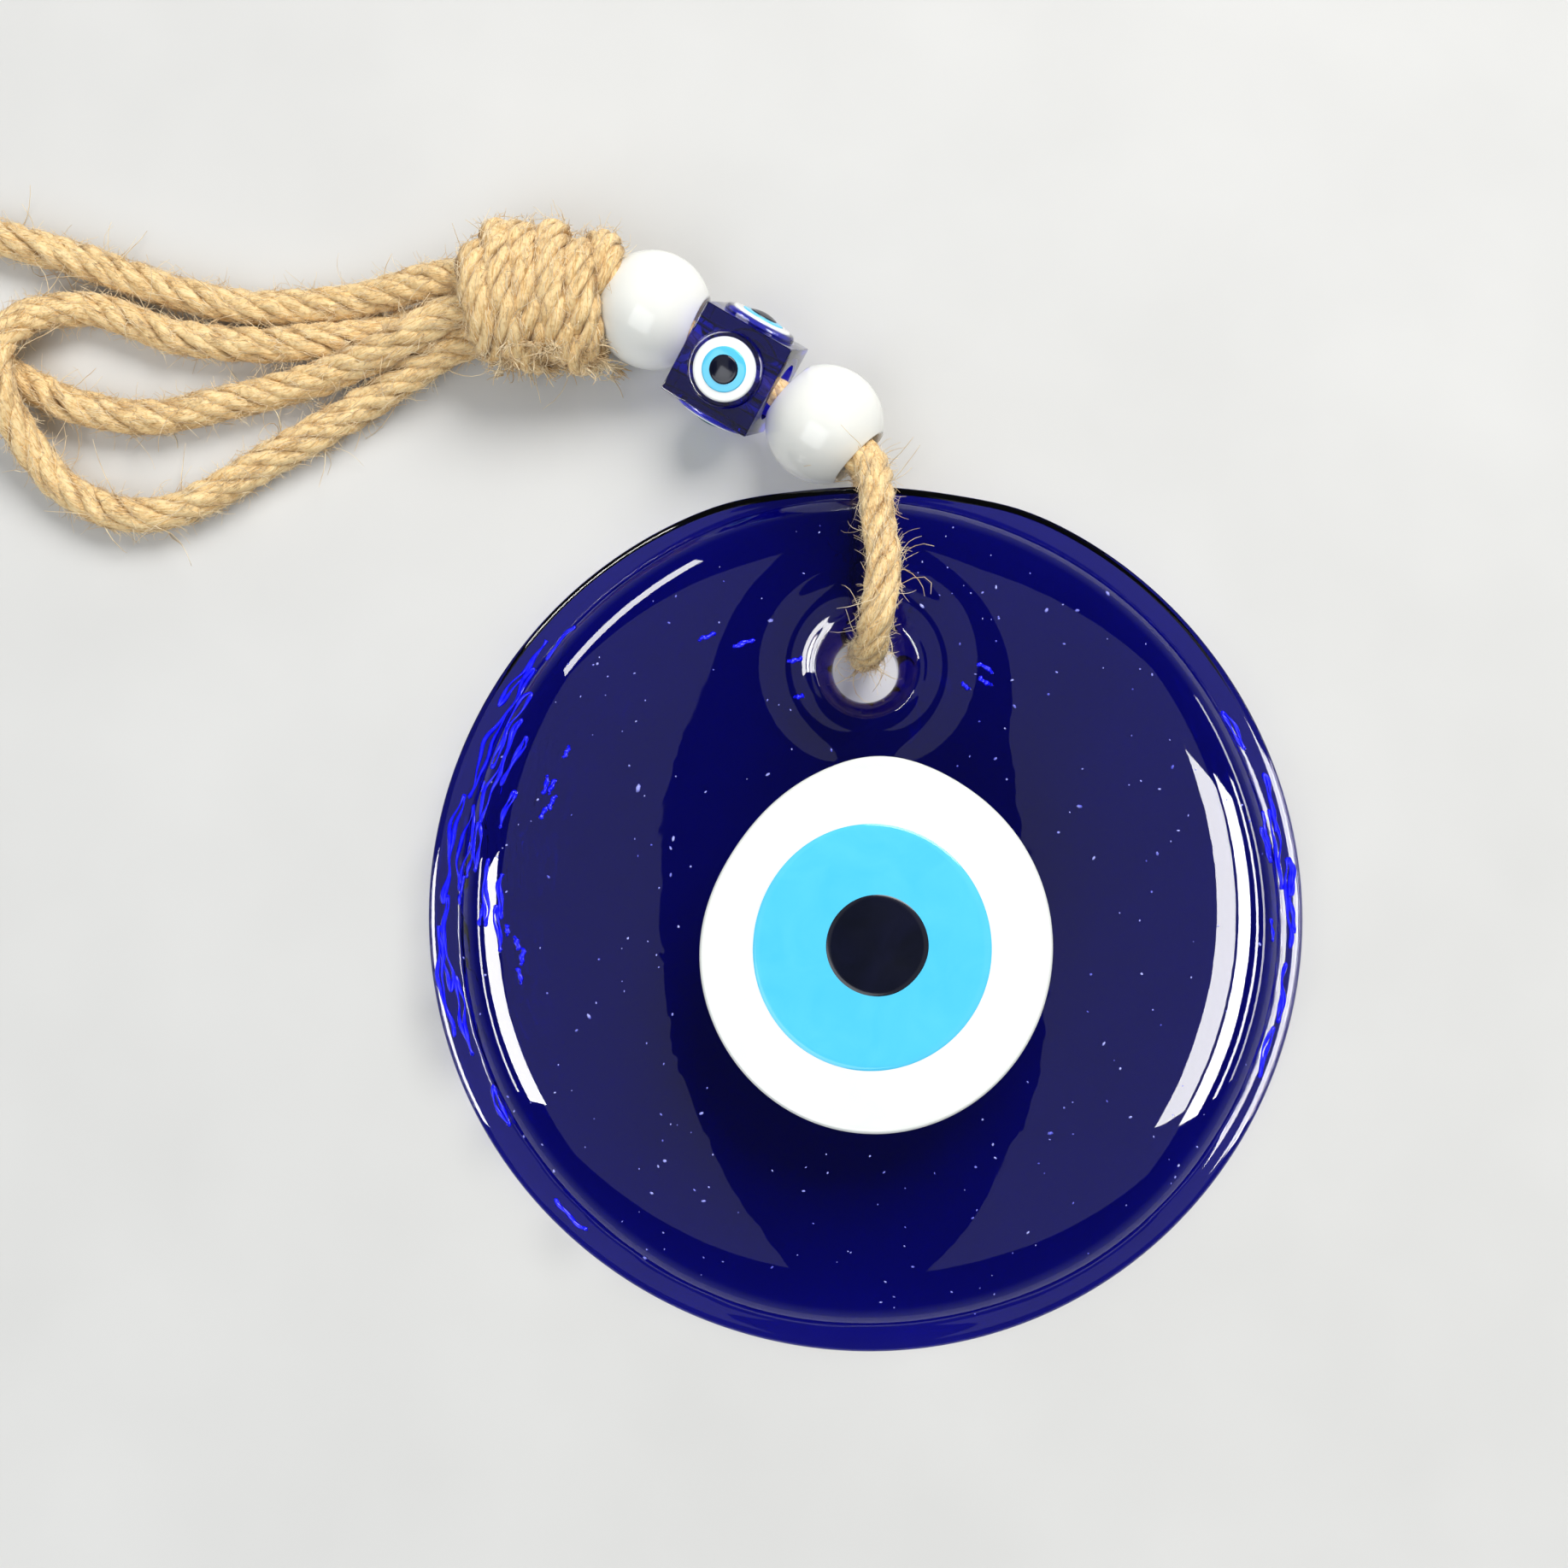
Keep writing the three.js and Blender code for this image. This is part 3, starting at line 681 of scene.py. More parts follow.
def make_eye():
    white = opaque_glass("eye_white_glass", [(0.3, (0.86, 0.89, 0.87)), (0.7, (0.90, 0.92, 0.89))],
                         subsurface=0.1)
    blue = opaque_glass("eye_blue_glass", [(0.3, (0.085, 0.60, 0.92)), (0.7, (0.105, 0.64, 0.95))],
                        subsurface=0.05)
    black = opaque_glass("eye_black_glass", [(0.3, (0.002, 0.003, 0.010)), (0.7, (0.004, 0.005, 0.02))],
                         roughness=0.14)
    make_drop("eye_white_drop", "eye_white", white, EYE_MIDDLE,
              (20.3, [(2, 0.45, -3.0)], [(2.5, 0.5, -0.8), (1.52, 0.34, 0.75)]), 0.9, 0.10, 0.10)
    make_drop("eye_blue_drop", "eye_iris", blue, (0.5, -3.2),
              (13.8, [(2, 0.22, -3.0), (3, 0.06, 1.0)]), 0.5, 0.26, 0.08)
    make_drop("eye_black_drop", "eye_pupil", black, (1.1, -3.0),
              (6.08, [(2, 0.04, 0.4), (3, 0.03, 2.0)], [(5.6, 0.5, -0.18)]), 0.3, 0.40, 0.06)
    return white, blue, black


# ---- Beads ----
BEAD_RADIUS = 6.95
BEAD_BORE = 3.55
BEAD_MOUTH = 0.55  # the round of a bore's edge


def bead_profile():
    """[radius, along the bore] from the bore's middle, out of one mouth, over the ball and back in."""
    shoulder = math.asin((BEAD_BORE + BEAD_MOUTH) / BEAD_RADIUS)  # where the ball gives way to the mouth
    face = BEAD_RADIUS * math.cos(shoulder)
    profile = [(BEAD_BORE, 0.0)]
    for z in np.linspace(0.8, face - BEAD_MOUTH, 6):
        profile.append((BEAD_BORE, z))
    for bend in np.linspace(0, math.pi / 2 - shoulder * 0.5, 9)[1:-1]:
        profile.append((BEAD_BORE + BEAD_MOUTH * (1 - math.cos(bend)),
                        face - BEAD_MOUTH * (1 - math.sin(bend))))
    for bend in np.linspace(shoulder, math.pi / 2, 44):
        profile.append((BEAD_RADIUS * math.sin(bend), BEAD_RADIUS * math.cos(bend)))
    return profile + [(r, -z) for r, z in reversed(profile[1:-1])]


def make_bead(name, node, body, joint_name, material, phase):
    segments = 144
    rings = lathe_points(bead_profile(), segments)
    angle = np.arctan2(rings[:, 1], rings[:, 0])
    swell = 1 + 0.006 * np.cos(2 * angle + phase) + 0.003 * np.cos(3 * angle + rings[:, 2] * 0.4)
    rings[:, :2] *= swell[:, None]
    turned = np.stack([rings[:, 2], rings[:, 1], -rings[:, 0]], 1)
    points = transform(bore_matrix(joint_name), turned)
    rows = len(points) // segments
    bead = recalculated(add_object(name, points, grid_faces(rows, segments, wrap_rows=True), material))
    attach(bead, body)
    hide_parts(node)


# ---- The cube bead ----
CUBE_SIZE = 11.3
CUBE_BORE = 3.6


def cube_matrix():
    """The cube's frame: the bore's, rolled so that its eyes face as they lie."""
    base = bore_matrix("cube_bead_spin")
    low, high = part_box("cube_eye_black_1")
    eye = base.inverted() @ ((low + high) / 2)
    roll = math.atan2(-eye.y, eye.z)
    return base @ Matrix.Rotation(roll, 4, "X")


def side_matrix(side):
    """The frame of one of the cube's four sides: Z out of its middle."""
    return cube_matrix() @ Matrix.Rotation(side * math.pi / 2, 4, "X")


def lathe_object(name, profile, segments, matrix, material):
    points = transform(matrix, lathe_points(profile, segments))
    faces = grid_faces(len(profile), segments)
    last = (len(profile) - 1) * segments
    faces.append(tuple(range(segments)))
    faces.append(tuple(range(last + segments - 1, last - 1, -1)))
    return recalculated(add_object(name, points, faces, material))


def boolean(target, tool, operation):
    """Joins a tool to the target, or cuts it out, and removes the tool."""
    modifier = target.modifiers.new("cut", "BOOLEAN")
    modifier.operation = operation
    modifier.solver = "EXACT"
    modifier.object = tool
    graph = bpy.context.evaluated_depsgraph_get()
    mesh = bpy.data.meshes.new_from_object(target.evaluated_get(graph))
    target.modifiers.clear()
    target.data = mesh
    bpy.data.objects.remove(tool)


def clear_rim_profile():
    """The ring of clear glass squeezed up round each of the cube's eyes."""
    half = CUBE_SIZE / 2
    profile = [(4.45, half - 1.0), (4.45, half - 0.05)]
    for step in np.linspace(0, 1, 9):
        bend = math.radians(90 * step)
        profile.append((4.05 + 0.42 * math.cos(bend), half + 0.25 + 0.5 * math.sin(bend)))
    profile.append((0.05, half + 0.8))
    return profile


def make_cube(material):
    matrix = cube_matrix()
    work = bmesh.new()
    bmesh.ops.create_cube(work, size=CUBE_SIZE * MM)
    bmesh.ops.bevel(work, geom=work.edges[:], offset=0.22 * MM, segments=3, profile=0.6, affect="EDGES")
    bmesh.ops.transform(work, matrix=matrix, verts=work.verts)
    mesh = mesh_of("cube_glass", work)
    mesh.materials.append(material)
    cube = show("cube_glass", mesh)
    for side in range(4):
        rim = lathe_object("rim", clear_rim_profile(), 72, side_matrix(side), material)
        boolean(cube, rim, "UNION")
    along = matrix @ Matrix.Rotation(math.pi / 2, 4, "Y")
    bore = lathe_object("bore", [(CUBE_BORE, -8), (CUBE_BORE, 8)], 64, along, material)
    boolean(cube, bore, "DIFFERENCE")
    cube.data.polygons.foreach_set("use_smooth", [True] * len(cube.data.polygons))
    cube.data.set_sharp_from_angle(angle=math.radians(35))
    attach(cube, "cube")
    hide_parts("cube_bead")


def drop_profile(radius, base, top, round_edge, dome=0.12):
    """A small pressed drop: a flat bottom, a rounded edge and a low dome."""
    profile = [(0.01, base), (radius, base)]
    for step in np.linspace(0, 1, 8):
        bend = math.radians(90 * step)
        profile.append((radius - round_edge * (1 - math.cos(bend)),
                        top - round_edge * (1 - math.sin(bend))))
    for share in np.linspace(1, 0, 9)[1:]:
        reach = (radius - round_edge) * max(share, 0.01)
        profile.append((reach, top + dome * (1 - share**2)))
    return profile


def make_small_eyes(white, blue, black):
    half = CUBE_SIZE / 2
    drops = (
        ("white", white, "white_glass", drop_profile(3.72, half + 0.2, half + 0.98, 0.3)),
        ("blue", blue, "light_blue_glass", drop_profile(2.62, half + 0.6, half + 1.16, 0.2)),
        ("black", black, "black_glass", drop_profile(1.72, half + 0.8, half + 1.38, 0.3, 0.24)),
    )
    for side in range(4):
        for word, material, slot_name, profile in drops:
            name = f"cube_{word}_drop_{side + 1}"
            drop = lathe_object(name, profile, 64, side_matrix(side), material)
            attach(drop, "cube")
            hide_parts(f"cube_eye_{word}_{side + 1}")


# ---- Cord routes, in mm in the row frame ----
def route(*places):
    """Places in mm, as metres."""
    return tuple(tuple(round(c * MM, 7) for c in place) for place in places)


LOOP_LONG = route(
    (-49.3, 61.28, 6.6), (-54, 60.67, 5), (-60, 59.78, 3), (-67.4, 59.17, 2.2), (-74, 59.17, 2.2),
    (-80.6, 60.47, 2.2), (-87.1, 62.47, 2.2), (-93.8, 64.88, 2.2), (-99, 66.47, 2.2), (-106, 68.07, 2.2),
    (-114, 68.88, 2.2), (-121, 67.08, 2.2), (-125, 62.28, 2.2), (-124.6, 56.67, 2.2), (-120, 52.78, 2.2),
    (-112, 51.87, 2.2), (-104.5, 51.67, 2.2), (-99.2, 49.38, 2.2), (-95.1, 47.38, 2.2), (-89.7, 45.98, 2.2),
    (-83.8, 45.68, 2.2), (-78, 46.98, 2.2), (-72.2, 48.27, 2.2), (-66.3, 49.77, 2.6), (-59.2, 51.97, 4.6),
    (-54, 54.08, 6.4), (-49.3, 56.58, 7.4),
)
LOOP_SHORT = route(
    (-49.3, 58.38, 3.2), (-54, 56.78, 2.4), (-60, 55.57, 2.2), (-66, 54.88, 2.2), (-74, 54.58, 2.2),
    (-82.8, 55.67, 2.2), (-87.1, 57.28, 2.2), (-91.9, 58.87, 2.2), (-96.2, 58.58, 2.9), (-99.8, 57.08, 4.2),
    (-101.9, 54.08, 5.8), (-102.3, 50.87, 6.8), (-101.7, 47.88, 6.6), (-100.4, 44.48, 5), (-98.2, 40.88, 3.2),
    (-95.4, 37.48, 2.3), (-89.3, 34.17, 2.2), (-83.5, 33.88, 2.2), (-77.7, 36.08, 2.2), (-72, 39.67, 2.2),
    (-66.1, 43.08, 2.2), (-59.1, 47.38, 2.4), (-54, 50.47, 3.4), (-49.3, 53.18, 4.4),
)
PENDANT = route(
    (0.8, 37.77, 9.7), (1, 36.28, 11.3), (1.1, 34.17, 12.7), (1.3, 30.37, 14.1), (1.8, 26.08, 15.7),
    (1.7, 22.87, 17.1), (1.2, 20.08, 17.1), (0.7, 17.87, 15.6), (0.4, 16.48, 13.2), (0.2, 16.07, 10.5),
    (0.1, 16.02, 8.2), (0.1, 16.13, 6.4), (0.1, 16.77, 4.5), (0.1, 17.87, 2.95), (0.2, 19.58, 2.05),
    (0.3, 22.37, 2), (0.4, 27.88, 2), (0.4, 32.88, 2.1), (0.5, 36.17, 2.8), (0.8, 37.77, 4.3),
)
PAIR = route(
    (-31.2, 59.78, 6.9), (-24.8, 56.97, 7), (-14.75, 50.08, 7.3), (-4.8, 43.47, 7), (-0.3, 39.08, 7),
)
LOOP_LONG_ENDS = route((-44.6, 61.1, 7.8), (-44.6, 57.6, 8.6))  # inside the knot
LOOP_SHORT_ENDS = route((-44.6, 59.2, 4.4), (-44.6, 54.9, 5.2))
PENDANT_ENDS = route((-1, 39.8, 8.3), (-1, 39.8, 5.6))  # inside the lower bead
LOOP_DIAMETER = 4.2 * MM
PENDANT_DIAMETER = 3.9 * MM


def catmull(points, step=0.35 * MM):
    """Points every step along a centripetal Catmull-Rom curve through the given ones."""
    knots = [Vector(p) for p in points]
    padded = [knots[0] * 2 - knots[1], *knots, knots[-1] * 2 - knots[-2]]
    dense = []
    for a, b, c, d in zip(padded, padded[1:], padded[2:], padded[3:]):
        t1 = (b - a).length ** 0.5
        t2 = t1 + (c - b).length ** 0.5
        t3 = t2 + (d - c).length ** 0.5
        for share in np.linspace(0, 1, 24, endpoint=False):
            t = t1 + (t2 - t1) * share
            ab = a * ((t1 - t) / t1) + b * (t / t1)
            bc = b * ((t2 - t) / (t2 - t1)) + c * ((t - t1) / (t2 - t1))
            cd = c * ((t3 - t) / (t3 - t2)) + d * ((t - t2) / (t3 - t2))
            abc = ab * ((t2 - t) / t2) + bc * (t / t2)
            bcd = bc * ((t3 - t) / (t3 - t1)) + cd * ((t - t1) / (t3 - t1))
            dense.append(abc * ((t2 - t) / (t2 - t1)) + bcd * ((t - t1) / (t2 - t1)))
    dense.append(knots[-1])
    return evenly(np.array([tuple(p) for p in dense]), step)


def evenly(points, step):
    """The same line with its points as near to step apart as its length allows."""
    gone = np.concatenate([[0], np.cumsum(np.linalg.norm(np.diff(points, axis=0), axis=1))])
    count = max(2, int(round(gone[-1] / step)) + 1)
    at = np.linspace(0, gone[-1], count)
    return np.stack([np.interp(at, gone, points[:, k]) for k in range(3)], 1)


def normalized(vectors):
    return vectors / np.linalg.norm(vectors, axis=-1, keepdims=True)


def turning_frames(points):
    """Tangents, and sides carried along the line without twisting."""
    tangents = normalized(np.gradient(points, axis=0))
    side = np.array((0.0, 0.0, 1.0))
    sides = []
    for tangent in tangents:
        side = side - tangent * (side @ tangent)
        side = side / np.linalg.norm(side)
        sides.append(side)
    return tangents, np.array(sides), np.cross(tangents, sides)


def path_length(points):
    return float(np.linalg.norm(np.diff(points, axis=0), axis=1).sum())


# ---- Laid cord ----
PLIES = 5
PLY_RING = 20
LAY = 16.0 * MM  # along the cord, for one turn of a ply
BUILD_DIAMETER = 4.44  # of the cord that the two builds below are given for, in mm
SOFT_LAID = (1.26, 0.96)  # from the cord's middle to a ply's, and the ply's radius
HARD_LAID = (1.34, 0.88)
FIBRE_STRETCH = 14 * MM  # along a ply, for one step of the fibre pattern
FIBRE_SLEW = 9.0  # how fast the crossing fibres turn round a ply
FIBRE_TWIST = 0.8  # how far a ply's own fibres turn round it in a mm
FIBRE_RIDGES = ((2, 0.07, 0.4, 0.6), (5, 0.05, 1.7, -0.9), (8, 0.04, 0.9, 1.2))  # cycles, size, start, drift


def slow_noise(along, seed, period):
    """A smooth random wobble between about -1 and 1 along a line."""
    rng = np.random.default_rng(seed)
    total = np.zeros_like(along)
    for octave in (1.0, 1.73, 2.9):
        total += np.sin(along * TAU * octave / period + rng.uniform(0, TAU)) / (1 + octave)
    return total


def joined(parts):
    """Several cord surfaces as one."""
    vertices, faces, spaces, groove_shades = zip(*parts)
    starts = [sum(len(v) for v in vertices[:order]) for order in range(len(parts))]
    every_face = [face for base, own in zip(starts, faces) for face in shifted(own, base)]
    return np.concatenate(vertices), every_face, np.concatenate(spaces), np.concatenate(groove_shades)


def cord_surface(points, diameter, seed, phase=0.0, squeeze=None, lay=LAY, swell=None, build=SOFT_LAID):
    """Laid plies along a line: vertices, faces, fibre coordinates and painted shade where the plies meet.

    squeeze is (directions, factor): the cord is flattened along those directions. swell thickens it
    point by point.
    """
    tangents, sides, others = turning_frames(points)
    count = len(points)
    along = np.linspace(0, path_length(points), count)
    offset, ply_radius = (size * (diameter / BUILD_DIAMETER) for size in build)
    ring = np.arange(PLY_RING) * TAU / PLY_RING
    middle = points[:, None, :]
    faces = grid_faces(count, PLY_RING)
    faces.append(tuple(reversed(range(PLY_RING))))
    faces.append(tuple((count - 1) * PLY_RING + i for i in range(PLY_RING)))
    plies = []
    for ply in range(PLIES):
        turn = phase + TAU * ply / PLIES + TAU * along / lay + 0.24 * slow_noise(along, seed + ply, 13 * MM)
        out = np.cos(turn)[:, None] * sides + np.sin(turn)[:, None] * others
        reach = offset * (1 + 0.10 * slow_noise(along, seed + 10 + ply, 9 * MM))
        line = points + out * reach[:, None]
        heading = normalized(np.gradient(line, axis=0))
        face_out = normalized(out - heading * np.sum(out * heading, 1)[:, None])
        across = np.cross(heading, face_out)
        fibre = ring[None, :] + along[:, None] * FIBRE_TWIST / MM
        plump = 1 + 0.12 * slow_noise(along, seed + 20 + ply, 7 * MM)
        radius = ply_radius * plump[:, None] * np.ones_like(fibre)
        for cycles, size, start, drift in FIBRE_RIDGES:
            wander = slow_noise(along, seed + cycles + ply, 6 * MM)[:, None]
            radius = radius * (1 + size * np.sin(cycles * fibre + start + 1.5 * drift * wander))
        body = (line[:, None, :] + radius[:, :, None] * (np.cos(ring)[None, :, None] * face_out[:, None, :]
                + np.sin(ring)[None, :, None] * across[:, None, :]))
        if swell is not None:
            body = middle + (body - middle) * swell[:, None, None]
        if squeeze is not None:
            directions, factor = squeeze[0][:, None, :], squeeze[1]
            body = body + directions * np.sum((body - middle) * directions, 2, keepdims=True) * (factor - 1)
        place = np.broadcast_to(along[:, None] / FIBRE_STRETCH, fibre.shape) + 3.1 * ply + seed
        space = np.stack([np.cos(fibre), np.sin(fibre), place], 2).reshape(-1, 3)
        inward = np.clip((0.52 - np.cos(ring)) / 0.36, 0, 1)  # 1 where the ply faces the cord's middle
        # painted shade: strongest on the side of each ply that turns in towards the others
        groove_shade = np.broadcast_to((inward * inward * (3 - 2 * inward))[None, :], fibre.shape)
        plies.append((body.reshape(-1, 3), faces, space, groove_shade.reshape(-1)))
    return joined(plies)


def jute_object(name, surface, material):
    """A piece of cord from its surface, which is kept above the floor."""
    vertices, faces, space, groove_shade = surface
    vertices[:, 2] = np.maximum(vertices[:, 2], 0.02 * MM)
    obj = add_object(name, vertices, faces, material)
    # the second attribute is the painted shade where plies meet
    for key, kind, field, values in (("fibre_space", "FLOAT_VECTOR", "vector", space),
                                     ("groove_shade", "FLOAT", "value", groove_shade)):
        attribute = obj.data.attributes.new(key, kind, "POINT")
        attribute.data.foreach_set(field, np.asarray(values, np.float32).ravel())
    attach(obj, "cord")
    return obj


def cord_object(name, points, diameter, material, seed, phase=0.0, **shape):
    return jute_object(name, cord_surface(points, diameter, seed, phase, **shape), material)


# ---- Loose hairs ----
def hairs_object(name, roots, directions, lengths, radius, curl, rng, material, steps=7):
    """Curling fibres: each leaves its root, bends one way, and tapers to a point."""
    count = len(roots)
    heading = normalized(directions)
    axis = normalized(np.cross(heading, rng.normal(size=(count, 3))))
    bend = curl * rng.normal(size=(count, 1)) * 0.9
    points = [roots]
    step = (lengths / steps)[:, None]
    for _ in range(steps):
        heading = normalized(heading + np.cross(axis, heading) * bend * step / MM
                             + rng.normal(size=(count, 3)) * 0.10)
        axis = normalized(axis - heading * np.sum(axis * heading, 1)[:, None]
                          + rng.normal(size=(count, 3)) * 0.06)
        points.append(points[-1] + heading * step)
    points = np.stack(points, 1)
    points[:, :, 2] = np.maximum(points[:, :, 2], 0.08 * MM)  # clear of the floor
    flow = normalized(np.gradient(points, axis=1) + 1e-9)
    side = normalized(np.cross(flow, np.array([0.3, 0.2, 0.93])))
    other = np.cross(flow, side)
    taper = np.linspace(1, 0.45, steps + 1)[None, :, None] * radius[:, None, None]
    rings = [points + taper * (math.cos(turn) * side + math.sin(turn) * other)
             for turn in (TAU * corner / 3 for corner in range(3))]
    per = 3 * (steps + 1)
    pattern = grid_faces(steps + 1, 3) + [(2, 1, 0), (per - 3, per - 2, per - 1)]
    faces = [face for hair in range(count) for face in shifted(pattern, hair * per)]
    obj = add_object(name, np.stack(rings, 2).reshape(-1, 3), faces, material)
    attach(obj, "cord")
    return obj


def cord_fuzz(name, points, diameter, per_mm, long_every, seed, material, keep_off=None):
    """Fuzz lying flat along a cord, short fuzz standing off it, and a long curled fibre every so often."""
    rng = np.random.default_rng(seed)
    tangents, sides, others = turning_frames(points)
    total = path_length(points) / MM
    kinds = (int(total * per_mm * 1.4), int(total * per_mm), int(total / long_every))
    flat, short, long = kinds
    count = sum(kinds)
    index = np.floor(rng.uniform(0, len(points) - 1, count)).astype(int)
    turn = rng.uniform(0, TAU, count)
    out = np.cos(turn)[:, None] * sides[index] + np.sin(turn)[:, None] * others[index]
    lying = np.arange(count) < flat
    roots = points[index] + out * diameter * np.where(lying, 0.475, 0.44)[:, None]
    around_it = np.cross(tangents[index], out)
    lean = np.where(lying, rng.choice((-1.0, 1.0), count) * 2.2, rng.normal(size=count) * 1.2)[:, None]
    across = np.where(lying, rng.normal(size=count) * 0.7 + 0.5 * np.sign(lean[:, 0]), 0.0)[:, None]
    directions = (out * np.where(lying, 0.10, 0.75)[:, None] + tangents[index] * lean + around_it * across
                  + rng.normal(size=(count, 3)) * np.where(lying, 0.08, 0.25)[:, None])
    lengths = np.concatenate([rng.uniform(0.8, 2.6, flat), rng.gamma(2.0, 0.55, short) + 0.3,
                              rng.uniform(2.5, 8, long)]) * MM
    radius = np.repeat((0.05, 0.038, 0.068), kinds) * MM
    curl = np.repeat((0.25, 0.5, 0.22), kinds)[:, None]
    keep = slice(None) if keep_off is None else keep_off(roots)
    return hairs_object(name, roots[keep], directions[keep], lengths[keep], radius[keep], curl[keep], rng,
                        material, steps=5)


# ---- The cords ----
def free_cord(name, node, route, diameter, material, hair, seed, phase, long_every=2.4, flare=0.0):
    """A limp cord with its fuzz. flare thickens its first 9 mm, where it opens out of the bead."""
    points = catmull(route)
    gone = np.linspace(0, path_length(points), len(points)) / MM
    swell = 1 + flare * np.clip(1 - gone / 9, 0, 1) ** 1.5
    rope = cord_object(name, points, diameter, material, seed, phase, swell=swell)
    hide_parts(node)
    fuzz = cord_fuzz(f"{name}_fuzz", points, diameter, 16, long_every, seed + 1, hair)


def make_free_cords(jute, hair):
    long_route = (LOOP_LONG_ENDS[0], *LOOP_LONG, LOOP_LONG_ENDS[1])
    short_route = (LOOP_SHORT_ENDS[0], *LOOP_SHORT, LOOP_SHORT_ENDS[1])
    pendant_route = (PENDANT_ENDS[0], *PENDANT, PENDANT_ENDS[1])
    free_cord("jute_loop_long", "loop_long", long_route, LOOP_DIAMETER, jute, hair, 11, 0.4)
    free_cord("jute_loop_short", "loop_short", short_route, LOOP_DIAMETER, jute, hair, 31, 1.9)
    free_cord("jute_pendant", "pendant_cord", pendant_route, PENDANT_DIAMETER, jute, hair, 51, 0.9, 1.1, 0.22)


def make_bead_pair(jute):
    """The two strands squeezed through the beads, one over the other."""
    line = catmull(PAIR)
    pair = jute_object("jute_bead_pair", joined([
        cord_surface(line + np.array([0, 0, lift * MM]), 2.8 * MM, seed, phase, lay=9 * MM)
        for lift, seed, phase in ((1.35, 71, 0.2), (-1.35, 81, 2.0))]), jute)
    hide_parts("bead_cord_pair")


# ---- The wrapped knot ----
KNOT_Y = 73.1
KNOT_Z = 6.95
KNOT_HALF_HEIGHT = 4.85
WRAP_DIAMETER = 4.3 * MM
WRAP_FROM = -0.55  # in half turns
WRAP_TO = 10.75
WRAP_SQUEEZE = 0.8  # how far a wrap is flattened against the core
# [half turns, x, reach across, height over the knot's middle as a share]
WRAP = (
    (-0.55, -44.0, 3.0, 0.5), (0.0, -45.4, 4.6, 1.0), (0.5, -45.1, 5.6, 1.0), (1.0, -43.4, 6.3, 1.0),
    (1.5, -43.6, 5.9, 1.0), (2.0, -43.2, 7.7, 1.0), (2.5, -42.1, 6.4, 1.04), (3.0, -40.7, 6.6, 1.0),
    (3.5, -40.7, 5.9, 1.0), (4.0, -40.6, 7.5, 1.02), (4.5, -39.4, 6.4, 1.0), (5.0, -37.8, 6.2, 1.0),
    (5.5, -37.4, 5.9, 1.0), (6.0, -36.5, 7.6, 1.02), (6.5, -36.4, 6.3, 1.05), (7.0, -35.2, 6.7, 1.0),
    (7.5, -34.4, 5.8, 1.0), (8.0, -33.5, 4.9, 1.0), (8.5, -33.0, 6.0, 0.98), (9.0, -32.0, 6.4, 1.0),
    (9.5, -31.9, 5.6, 0.95), (9.85, -32.2, 6.3, 1.0), (10.1, -30.2, 6.0, 1.1), (10.4, -29.9, 4.4, 0.85),
    (10.75, -30.4, 1.2, 0.3),
)


def wrap_line():
    """The wrapping cord's centreline: five turns and the lead into the first bead."""
    at = np.linspace(WRAP_FROM, WRAP_TO, 900)
    stops, *columns = np.array(WRAP).T
    x, reach, height = (smooth_table(at, stops, values) for values in columns)
    turn = at * math.pi
    y = KNOT_Y + reach * np.cos(turn)
    z = KNOT_Z + KNOT_HALF_HEIGHT * height * np.sin(turn)
    return evenly(np.stack([x, y, z], 1) * MM + ROUTE_ORIGIN, 0.3 * MM)


def smooth_table(at, stops, values):
    """Straight steps between stops, softened by a short window."""
    width = 31
    kernel = np.hanning(width) / np.hanning(width).sum()
    padded = np.pad(np.interp(at, stops, values), width // 2, mode="edge")
    return np.convolve(padded, kernel, mode="valid")


def make_knot(jute, hair):
    points = wrap_line()
    outward = points - (np.array([0, KNOT_Y, KNOT_Z]) * MM + ROUTE_ORIGIN)
    outward[:, 0] = 0
    outward = normalized(outward)
    wrap = cord_object("jute_wrap", points, WRAP_DIAMETER, jute, 91, 0.7, squeeze=(outward, WRAP_SQUEEZE),
                       lay=13 * MM, build=HARD_LAID)
    darken_between_turns(wrap, points, outward)
    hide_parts(*(f"knot_turn_{turn}" for turn in range(1, 6)))
    cord_fuzz("jute_wrap_fuzz", points, WRAP_DIAMETER, 10, 7, 92, hair,
              keep_off=lambda roots: roots[:, 2] > 1.5 * MM)
    make_core(jute)
    make_frayed_ends(jute, hair)


def darken_between_turns(wrap, points, outward):
    """Deepens the painted shade on the flanks of each turn, where it lies against the next."""
    flank = normalized(np.cross(outward, normalized(np.gradient(points, axis=0))))
    places = np.zeros(len(wrap.data.vertices) * 3)
    wrap.data.vertices.foreach_get("co", places)
    away = places.reshape(PLIES, len(points), PLY_RING, 3) - points[None, :, None, :]
    reach = np.abs(np.sum(away * flank[None, :, None, :], 3)) / MM
    shade = np.clip((reach - 1.30) / 0.6, 0, 1).reshape(-1)
    groove_shade = np.zeros(len(shade))
    attribute = wrap.data.attributes["groove_shade"]
    attribute.data.foreach_get("value", groove_shade)
    attribute.data.foreach_set("value", np.maximum(groove_shade, 1.15 * shade).astype(np.float32))


def make_core(jute):
    """The four strands that run on inside the wraps."""
    middle = np.array([-0.0385, KNOT_Y * MM + ROUTE_ORIGIN[1], KNOT_Z * MM])
    strands = []
    for order, (start, phase) in enumerate(zip((*LOOP_LONG_ENDS, *LOOP_SHORT_ENDS), (0.4, 1.3, 2.0, 2.9))):
        spread = (np.array(start) - middle) * np.array([0, 0.55, 0.75])
        line = np.array([start, middle + spread, PAIR[0] + spread * 0.5 + (0.0005, 0, 0)])
        strands.append(cord_surface(evenly(line, 0.6 * MM), 3.4 * MM, 131 + 7 * order, phase))
    core = jute_object("jute_core", joined(strands), jute)
    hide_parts("knot_core")


